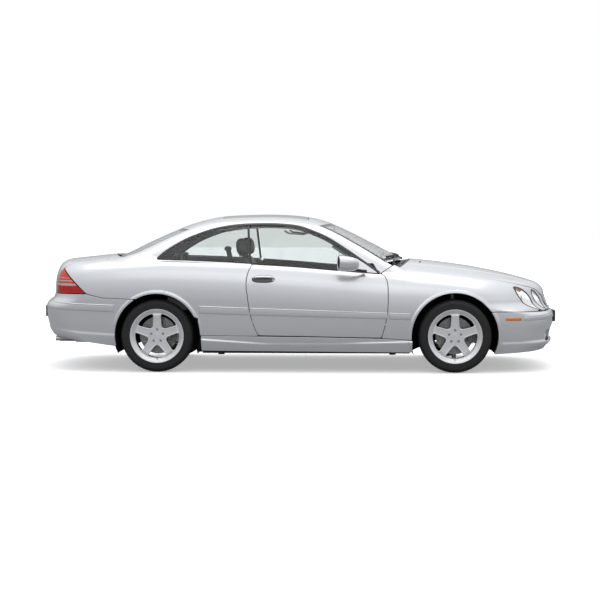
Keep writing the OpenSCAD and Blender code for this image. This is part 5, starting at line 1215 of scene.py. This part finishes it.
SK = stitched(V, F, [lambda V: np.abs(np.abs(bk(V)[1]) - 158) + np.maximum(0, 18 - bk(V)[0]) + np.maximum(0, bk(V)[2]-190)] + [lambda V, w=w: np.abs(bk(V)[2]-w) + np.maximum(0, np.abs(bk(V)[1])-156)*0.8 + np.maximum(0, 18 - bk(V)[0]) for w in (-200, -120, -40, 40, 120, 195)])
SKF = F
V, F = block(-528, 370, 1138, 62, 128, 84, n=20, e=0.78)
x = V[:, 0]; V[:, 0] = x - 0.10*(V[:, 2]-1138)
HR, HRF = puffed(V, F, 6.0, 6)
for s, sd in ((1, "left"), (-1, "right")):
    mi = s < 0
    emit_pad("seat_cushion_"+sd, SB, SBF, "body", node="front_seats" if mi else None, mirror=mi)
    emit_pad("seat_backrest_"+sd, SK, SKF, "body", mirror=mi)
    emit_pad("headrest_"+sd, HR, HRF, "body", mirror=mi)
    for k, y in ((1, 325), (2, 415)):
        tube("headrest_post_%s_%d" % (sd, k), [(-548, s*y, 1000), (-540, s*y, 1050), (-532, s*y, 1090)], 6.5, CHROME, "body", "bright_trim", n=12)
    # back shell, side valance and rails under the seat
    V, F = block(-30, 370, 305, 225, 226, 34, n=12, e=0.4); V = V*np.array([1, s, 1]); F = F if s > 0 else [f[::-1] for f in F]
    make("seat_base_"+sd, V, F, SOFT, "body", "interior_plastic")
    for k, y in ((1, 190), (2, 550)):
        tube("seat_rail_%s_%d" % (sd, k), [(-290, s*y, 214), (-100, s*y, 214), (140, s*y, 214)], 16, STEEL, "body", "brushed_metal", n=8, squash=0.6)
    # belt: from the guide behind the door opening down to the sill, its buckle stalk between the seats
    tube("belt_"+sd, [(-640, s*690, 1120), (-612, s*675, 1000), (-585, s*668, 820), (-560, s*664, 600), (-540, s*660, 420)], 23, RUBBER, "body", "interior_plastic", n=12, squash=0.07, up=(0, s, 0))
    lathe("belt_guide_"+sd, (-642, s*700, 1130), (0, -s, 0.1), [(34, 0), (34, 8), (28, 13), (12, 15), (1, 15)], SOFT, "body", "interior_plastic", n=28, squash=0.7)
    tube("belt_buckle_"+sd, [(-270, s*128, 360), (-280, s*126, 420), (-290, s*122, 478)], [9, 10, 13], BLACK, "body", "black_plastic", n=12, squash=0.7)

# rear seats: one cushion and one backrest with two hollows
def hollow(y): return np.exp(-((np.abs(y)-270)/150)**2)
V, F = block(-850, 0, 452, 205, 556, 62, n=34, e=0.26)
V[:, 2] += sstep(0, 40, V[:, 2]-452)*(18 - 26*hollow(V[:, 1]) + 16*sstep(-900, -660, V[:, 0]))
V, F = puffed(V, F, 8.0, 14)
V = stitched(V, F, [lambda V: np.abs(np.abs(V[:, 1]) - 52) + np.maximum(0, 455 - V[:, 2]), lambda V: np.abs(np.abs(V[:, 1]) - 470) + np.maximum(0, 455 - V[:, 2])] + [lambda V, x=x: np.abs(V[:, 0]-x) + np.maximum(0, np.abs(np.abs(V[:, 1])-262)-205) + np.maximum(0, 455 - V[:, 2]) for x in (-960, -890, -820, -750)])
emit_pad("rear_cushion", V, F, "body", node="rear_seat")
V, F = block(0, 0, 0, 62, 556, 222, n=34, e=0.26)
u, w = V[:, 0].copy(), V[:, 2].copy()
u += sstep(0, 40, u)*(14 - 24*hollow(V[:, 1]))
a = math.radians(17)
V[:, 0] = -1078 + u*math.cos(a) - w*math.sin(a); V[:, 2] = 722 + w*math.cos(a) + u*math.sin(a)
V, F = puffed(V, F, 8.0, 14)
rw = lambda V: (V[:, 2]-722)*math.cos(a) - (V[:, 0]+1078)*math.sin(a)
ru = lambda V: (V[:, 0]+1078)*math.cos(a) + (V[:, 2]-722)*math.sin(a)
V = stitched(V, F, [lambda V: np.abs(np.abs(V[:, 1]) - 52) + np.maximum(0, 15 - ru(V)), lambda V: np.abs(np.abs(V[:, 1]) - 470) + np.maximum(0, 15 - ru(V))] + [lambda V, x=x: np.abs(rw(V)-x) + np.maximum(0, np.abs(np.abs(V[:, 1])-262)-205) + np.maximum(0, 15 - ru(V)) for x in (-140, -60, 20, 100)])
emit_pad("rear_backrest", V, F, "body")
V, F = block(-1156, 270, 1022, 36, 112, 54, n=16, e=0.42)
V, F = puffed(V, F, 6.0, 5)
for s, sd in ((1, "left"), (-1, "right")):
    emit_pad("rear_headrest_"+sd, V, F, "body", mirror=s < 0)
    tube("rear_headrest_post_"+sd, [(-1150, s*270, 925), (-1152, s*270, 960), (-1154, s*270, 990)], 8, CHROME, "body", "bright_trim", n=12)

# ---------------------------------------------------------------- cabin trim
def g_cardx(x0, x1, z0):
    return lambda P: np.minimum(np.minimum(P[..., 0]-x0, x1-P[..., 0]), np.minimum(P[..., 2]-z0, np.interp(P[..., 0], BX, BZ) - 14 - P[..., 2]))
BX = np.array([p[0] for p in belt_pts]); BZ = np.array([p[1] for p in belt_pts])
def cards(s, side):
    bulge = lambda V: 0*V[:, 0] - 22*sstep(540, 575, V[:, 2])*(1-sstep(640, 665, V[:, 2]))
    panel("door_card_"+side, chart_side(Flow, s=s), np.arange(-395, 736, 14.0), np.arange(340, 995, 12.0), g_cardx(-388, 728, 352), Flow, SOFT, side+"_door", "interior_plastic", depth=6, r=3, back=SOFT, inset=92, relief=bulge, bands=lambda C: np.where(C[:, 2] > 660, 1, 0), extra=[LEATHER])
    panel("rear_side_card_"+side, chart_side(Flow, s=s), np.arange(-1200, -480, 14.0), np.arange(560, 1035, 12.0), g_cardx(-1190, -490, 570), Flow, LEATHER, "body", "interior_leather", depth=6, r=3, back=SOFT, inset=92)
    P = [on(Flow, x, 640, s, -118) for x in np.linspace(-330, 420, 14)]
    tube("door_armrest_"+side, P, np.interp(np.linspace(0, 1, 14), [0, .08, .9, 1], [8, 24, 24, 8]), LEATHER, side+"_door", "interior_leather", n=16, squash=0.75, up=(0, s, 0))
    P = [on(Flow, x, 760, s, -100) for x in np.linspace(330, 450, 9)]
    tube("door_pull_"+side, P, np.interp(np.linspace(0, 1, 9), [0, .15, .85, 1], [5, 9, 9, 5]), CHROME, side+"_door", "bright_trim", n=12)
both(cards)
def g_headl(P):
    x, y = P[..., 0], np.abs(P[..., 1])
    return np.minimum(np.minimum(x + 1120 - 0.0004*y*y, 285 - 0.0003*y*y - x), 520 + 0*x - y - 40*np.clip((x-0)/300, 0, 1))
panel("headlining", chart_top(Ftop, lo=900), np.arange(-1125, 300, 15.0), np.arange(-525, 526, 15.0), g_headl, Ftop, HEAD, "body", "interior_plastic", depth=5, r=2, back=HEAD, inset=40)
# inner pillar trims
def pillars(s, side):
    t = np.linspace(0, 1, 22)
    q = np.stack([756 - 420*t, np.interp(756-420*t, WTOP[:, 0], WTOP[:, 1]) + 6], -1)
    U, W = path_rows(q, [-30, -28, -10, 10, 28, 30])
    relief("front_pillar_trim_"+side, chart_side(Fb, s=s), U, W, [-50, -44, -40, -40, -44, -50], Fb, HEAD, "body", "interior_plastic")
    tube("roof_handle_"+side, [on(Fb, x, z, s, -h) for x, z, h in ((-120, 1318, 44), (-80, 1308, 66), (0, 1304, 70), (60, 1300, 66), (95, 1304, 44))], 9, HEAD, "body", "interior_plastic", n=10)
both(pillars)
# carpet over the floor plates, mats in the footwells
for k, (x0, x1, y0, y1, z) in enumerate([(-860, 1020, 102, 684, 203), (-860, 1020, -684, -102, 203)]):
    V, F = block((x0+x1)/2, (y0+y1)/2, z, (x1-x0)/2, (y1-y0)/2, 4, n=14, e=0.14)
    make("carpet_%d" % (k+1), V, F, CARPET, "body", "interior_plastic")
for s, sd in ((1, "left"), (-1, "right")):
    V, F = block(500, s*380, 211, 250, 215, 4, n=14, e=0.22)
    make("mat_"+sd, V, F, CARPET, "body", "interior_plastic")
V, F = block(-1395, 0, 943, 232, 556, 7, n=20, e=0.2)
make("parcel_shelf", V, F, HEAD, "body", "interior_plastic")
# dashboard: one long moulding with a hood over the dials and a knee roll
ys = np.concatenate([[-688, -687, -682], np.linspace(-670, 670, 90), [682, 687, 688]])
prof = np.array([(872, 700), (700, 664), (640, 672), (600, 690), (592, 715), (604, 735), (610, 750), (608, 790), (604, 815), (604, 835), (612, 852), (632, 866), (660, 878), (720, 888), (790, 893), (868, 892)], float)
V, F = [], []
for j, y in enumerate(ys):
    e = 1 if 3 <= j < len(ys)-3 else (0.90, 0.97, 0.99)[min(j, len(ys)-1-j)]
    h = math.exp(-(abs(y-370)/165)**6)
    m = math.exp(-(abs(y)/150)**6)
    for i, (x, z) in enumerate(prof):
        dz = h*(34 if i in (10, 11, 12) else (22 if i == 13 else (10 if i == 14 else 0)))
        dx = h*(-30 if i in (9, 10, 11) else (34 if i in (7, 8) else 0)) + m*(-10 if 5 <= i <= 10 else 0)
        c = np.array([730, 780.])
        V.append([c[0] + (x+dx-c[0])*e, y, c[1] + (z+dz-c[1])*e])
m_ = len(prof); n_ = len(ys)
for j in range(n_-1):
    for i in range(m_):
        F.append([j*m_+i, j*m_+(i+1) % m_, (j+1)*m_+(i+1) % m_, (j+1)*m_+i])
F.append(list(range(m_))[::-1]); F.append([(n_-1)*m_+i for i in range(m_)])
o = make("dashboard_moulding", V, [f[::-1] for f in F], [SOFT, WOOD], "body", "interior_plastic", node="dashboard", idx=[1 if i in (5, 6) else 0 for j in range(n_-1) for i in range(m_)] + [0, 0])
for k, y in enumerate((318, 422)):
    lathe("dial_%d" % (k+1), (634, y, 812), (-1, 0, 0.25), [(46, 0), (46, 8), (43, 9), (41, 4), (1, 3.5)], SCREEN, "body", "interior_plastic", n=40)
    lathe("dial_ring_%d" % (k+1), (632, y, 812.5), (-1, 0, 0.25), [(48.5, 0), (48.5, 9), (46.5, 10), (46.2, 0)], CHROME, "body", "bright_trim", n=40)
for k, y in enumerate((-52, 52)):
    V, F = block(592, y, 796, 9, 44, 22, n=10, e=0.3); make("vent_%d" % (k+1), V, F, BLACK, "body", "black_plastic")
    for i in range(4):
        tube("vent_blade_%d_%d" % (k+1, i+1), [(582, y-40, 782+9*i), (581, y, 782+9*i), (582, y+40, 782+9*i)], 2.4, SATIN, "body", "bright_trim", n=8)
for k, y in enumerate((-610, 610)):
    lathe("vent_round_%d" % (k+1), (606, y, 800), (-1, 0, 0.1), [(38, 0), (38, 8), (35, 11), (30, 7), (28, 3), (1, 2)], BLACK, "body", "black_plastic", n=32)
V, F = block(590, 0, 722, 12, 98, 44, n=12, e=0.22); make("centre_screen", V, F, SCREEN, "body", "interior_plastic")
# centre stack and console with its armrest, lever and wood lid
V, F = block(598, 0, 510, 46, 104, 186, n=14, e=0.24); V[:, 0] -= 0.18*(V[:, 2]-510); make("centre_stack", V, F, SOFT, "body", "interior_plastic")
V, F = block(80, 0, 412, 492, 101, 82, n=22, e=0.2); V[:, 2] += 34*sstep(200, 560, V[:, 0])*sstep(0, 60, V[:, 2]-400); make("console", V, F, SOFT, "body", "interior_plastic")
V, F = block(250, 0, 500, 150, 70, 10, n=14, e=0.3); V[:, 2] += 20*sstep(150, 400, V[:, 0]); make("console_lid", V, F, WOOD, "body", "interior_plastic")
V, F = block(-240, 0, 535, 165, 92, 42, n=18, e=0.36); o = make("console_armrest", V, F, LEATHER, "body", "interior_leather")
tube("gear_lever", [(215, 0, 505), (212, 0, 550), (206, 0, 590)], [7, 6, 6], CHROME, "body", "bright_trim", n=12)
V, F = block(203, 0, 606, 20, 17, 26, n=10, e=0.6); make("gear_knob", V, F, LEATHER, "body", "interior_leather")
for i in range(9):
    V, F = block(548, -64+16*i, 640, 6, 6.4, 8, n=6, e=0.4); make("stack_key_%d" % (i+1), V, F, BLACK, "body", "black_plastic")
# pedals
for k, (y, w, h) in enumerate(((340, 46, 26), (250, 20, 46))):
    V, F = block(870, y, 330, 7, w, h, n=10, e=0.35); V[:, 0] += 0.45*(V[:, 2]-330); make("pedal_%d" % (k+1), V, F, RUBBER, "body", "interior_plastic")
    tube("pedal_arm_%d" % (k+1), [(882, y, 345), (930, y, 460), (950, y, 600)], 8, STEEL, "body", "brushed_metal", n=8)
# rear-view mirror, sun visors
V, F = block(322, 0, 1262, 14, 112, 32, n=16, e=0.4); V[:, 0] -= 0.25*(V[:, 2]-1262); make("rear_view_mirror", V, F, BLACK, "body", "black_plastic")
o_, N_ = on_top(Ftop, 300, 0, -18, 900)
tube("rear_view_stem", [o_ + np.array([30, 0, -10]), (338, 0, 1300), (330, 0, 1272)], 8, BLACK, "body", "black_plastic", n=10)
for s, sd in ((1, "left"), (-1, "right")):
    V, F = block(0, 0, 0, 78, 190, 7, n=16, e=0.3)
    a = math.radians(-16); X = V[:, 0].copy(); V[:, 0] = 205 + X*math.cos(a); V[:, 2] = 1333 + V[:, 2] + X*math.sin(a)*1.0; V[:, 1] = s*(300) + V[:, 1]
    make("sun_visor_"+sd, V, F, HEAD, "body", "interior_plastic")

# ---------------------------------------------------------------- steering wheel
ew = np.array([math.sin(math.radians(115)), 0, math.cos(math.radians(115))]); ev = np.array([0, 1.0, 0]); eu = np.cross(ev, ew)
SO = np.array([330.0, 370, 790])
def swp(u, v, w): return SO + eu*u + ev*v + ew*w
V, F = [], []
n1, n2 = 88, 16
for i in range(n1):
    t = 2*math.pi*i/n1
    k = 1 + 0.10*(math.exp(-((abs(math.sin(t))-1)/0.10)**2))
    for j in range(n2):
        q = 2*math.pi*j/n2
        r = 177 + 14.2*k*math.cos(q)
        V.append(swp(r*math.cos(t), r*math.sin(t), 14.6*math.sin(q)))
for i in range(n1):
    for j in range(n2):
        F.append([i*n2+j, ((i+1) % n1)*n2+j, ((i+1) % n1)*n2+(j+1) % n2, i*n2+(j+1) % n2])
o = make("steering_rim", V, F, LEATHER, "steering_wheel", "interior_leather", node="steering_wheel")
if np.dot(np.cross(np.array(V[F[0][1]])-V[F[0][0]], np.array(V[F[0][2]])-V[F[0][0]]), np.array(V[0])-SO) < 0: o.data.flip_normals()
V, F = block(0, 0, 0, 62, 74, 26, n=16, e=0.5); V = np.array([swp(a_, b_, c_ - 8) for a_, b_, c_ in V]); o = make("steering_hub", V, F, SOFT, "steering_wheel", "interior_plastic")
for k, (t0) in enumerate((90, 270, 180)):
    t = math.radians(t0)
    P = [swp(r*math.cos(t), r*math.sin(t), z) for r, z in ((40, 2), (80, 0), (120, -2), (150, -1), (172, 0))]
    tube("steering_spoke_%d" % (k+1), P, [30, 24, 19, 17, 18], SATIN if k == 2 else SOFT, "steering_wheel", "interior_plastic", n=14, squash=0.42, up=tuple(ew))
tube("steering_shaft", [swp(0, 0, 10), swp(0, 0, 120), swp(0, 0, 222)], 22, STEEL, "steering_wheel", "brushed_metal", n=20)
for k, sg in enumerate((1, -1)):
    tube("column_stalk_%d" % (k+1), [swp(30*1, sg*62, 70), swp(40, sg*120, 62), swp(46, sg*168, 52)], [6, 6, 8], BLACK, "body", "black_plastic", n=10)

# ---------------------------------------------------------------- engine cover, exhaust tips, plain parts kept from the model
V, F = block(1480, 0, 822, 215, 240, 26, n=20, e=0.24); V[:, 2] -= 0.08*(V[:, 0]-1480)
V = stitched(V, F, [lambda V, y=y: np.abs(V[:, 1]-y) + np.maximum(0, 815 - V[:, 2]) for y in (-150, -75, 75, 150)], d=5, w=5)
make("engine_cover", V, F, BLACK, "body", "black_plastic")
for s, sd in ((1, "left"), (-1, "right")):
    lathe("exhaust_tip_"+sd, (-2260, s*330, 268), (-1, 0, -0.03), [(30, 0), (31, 6), (31.5, 60), (31, 66), (29, 67), (28, 62), (28, 10), (1, 9)], CHROME, "body", "bright_trim", n=36, squash=0.8)
    lathe("strut_top_"+sd, (1430, s*560, 838), (0, 0, 1), [(70, 0), (70, 6), (52, 16), (30, 18), (30, 26), (1, 27)], CASTING, "body", "bare_metal", n=32)
V, F = block(1880, -330, 760, 96, 88, 92, n=12, e=0.2); make("battery", V, F, BLACK, "body", "black_plastic")
V, F = block(1850, 330, 760, 90, 110, 80, n=14, e=0.35); make("air_box", V, F, SOFT, "body", "black_plastic")
KEEP = {"floor_pan": UNDER, "body_structure": UNDER, "engine": CASTING, "exhaust": STEEL, "front_suspension": IRON, "rear_suspension": IRON, "right_knuckle": CASTING, "left_knuckle": CASTING}
for w in ("front_right", "front_left", "rear_right", "rear_left"): KEEP[w+"_disc"] = STEEL
for k, m in KEEP.items():
    for ob in ([NODES[k]] if not isinstance(NODES[k], (list, tuple)) else NODES[k]):
        if not ob.material_slots: ob.data.materials.append(m)
        for sl in ob.material_slots: sl.material = m

# ---------------------------------------------------------------- camera, lights, floor
def light_scene():
    w = bpy.data.worlds.new("studio"); bpy.context.scene.world = w; w.use_nodes = True
    t = w.node_tree; N, L = t.nodes, t.links
    bg = N["Background"]; bg.inputs["Color"].default_value = (1, 1, 1, 1); bg.inputs["Strength"].default_value = 1.0
    # the room is dimmer low down and behind, the backdrop that the lens sees is plain white
    g = N.new("ShaderNodeBackground"); co = N.new("ShaderNodeTexCoord"); sp = N.new("ShaderNodeSeparateXYZ"); rp = N.new("ShaderNodeValToRGB")
    L.new(co.outputs["Generated"], sp.inputs[0]); L.new(sp.outputs["Z"], rp.inputs["Fac"])
    r = rp.color_ramp; r.elements[0].position = 0.0; r.elements[0].color = (0.26, 0.265, 0.27, 1); r.elements[1].position = 0.75; r.elements[1].color = (1.10, 1.11, 1.13, 1)
    e = r.elements.new(0.12); e.color = (0.52, 0.53, 0.545, 1)
    e = r.elements.new(0.35); e.color = (0.84, 0.85, 0.87, 1)
    L.new(rp.outputs["Color"], g.inputs["Color"]); g.inputs["Strength"].default_value = 0.95
    lp = N.new("ShaderNodeLightPath"); mx = N.new("ShaderNodeMixShader"); ad = N.new("ShaderNodeMath"); ad.operation = "MAXIMUM"
    L.new(lp.outputs["Is Camera Ray"], ad.inputs[0]); L.new(lp.outputs["Is Transmission Ray"], ad.inputs[1]); L.new(ad.outputs[0], mx.inputs["Fac"]); L.new(g.outputs[0], mx.inputs[1]); L.new(bg.outputs[0], mx.inputs[2]); L.new(mx.outputs[0], N["World Output"].inputs["Surface"])
    def area(n, loc, rot, size, e):
        l = bpy.data.lights.new(n, "AREA"); l.energy = e; l.shape = "RECTANGLE"; l.size, l.size_y = size
        o = bpy.data.objects.new(n, l); o.location = loc; o.rotation_euler = rot
        bpy.context.scene.collection.objects.link(o)
    area("soft_box_top", (0, 0, 7.0), (0, 0, 0), (9, 6), 150)
    area("soft_box_side", (0, -8.5, 5.0), (math.radians(62), 0, 0), (9, 3), 45)
    me = bpy.data.meshes.new("floor"); R = 60
    me.from_pydata([(-R, -R, -0.001), (R, -R, -0.001), (R, R, -0.001), (-R, R, -0.001)], [], [(0, 1, 2, 3)])
    fl = bpy.data.objects.new("floor", me); bpy.context.scene.collection.objects.link(fl)
    m = procedural("pale_floor", (0.93, 0.93, 0.93), 0.85, vary=0.006, scale=2, bump=0.02, bscale=60)
    t = m.node_tree; b = t.nodes["Principled BSDF"]; b.inputs["Emission Color"].default_value = (1, 1, 1, 1); b.inputs["Emission Strength"].default_value = 0.40
    # the floor's bounce light is kept low, as over dark ground
    dk = t.nodes.new("ShaderNodeBsdfDiffuse"); dk.inputs["Color"].default_value = (0.30, 0.30, 0.305, 1)
    lp = t.nodes.new("ShaderNodeLightPath"); mx = t.nodes.new("ShaderNodeMixShader"); ad = t.nodes.new("ShaderNodeMath"); ad.operation = "MAXIMUM"
    t.links.new(lp.outputs["Is Camera Ray"], ad.inputs[0]); t.links.new(lp.outputs["Is Transmission Ray"], ad.inputs[1])
    t.links.new(ad.outputs[0], mx.inputs["Fac"]); t.links.new(dk.outputs[0], mx.inputs[1]); t.links.new(b.outputs[0], mx.inputs[2]); t.links.new(mx.outputs[0], t.nodes["Material Output"].inputs["Surface"])
    me.materials.append(m)
light_scene()
sc = bpy.context.scene
sc.view_settings.view_transform = "Standard"
sc.view_settings.exposure = 0.0
cam = bpy.data.cameras.new("camera"); cam.lens = 85.7; cam.sensor_width = 36
co = bpy.data.objects.new("camera", cam); sc.collection.objects.link(co)
co.location = (0.472, -13.9, 1.40)
d = Vector((0.032, -0.9, 0.668)) - co.location
co.rotation_mode = "QUATERNION"; co.rotation_quaternion = d.to_track_quat("-Z", "Y")
sc.camera = co
cam.clip_end = 200
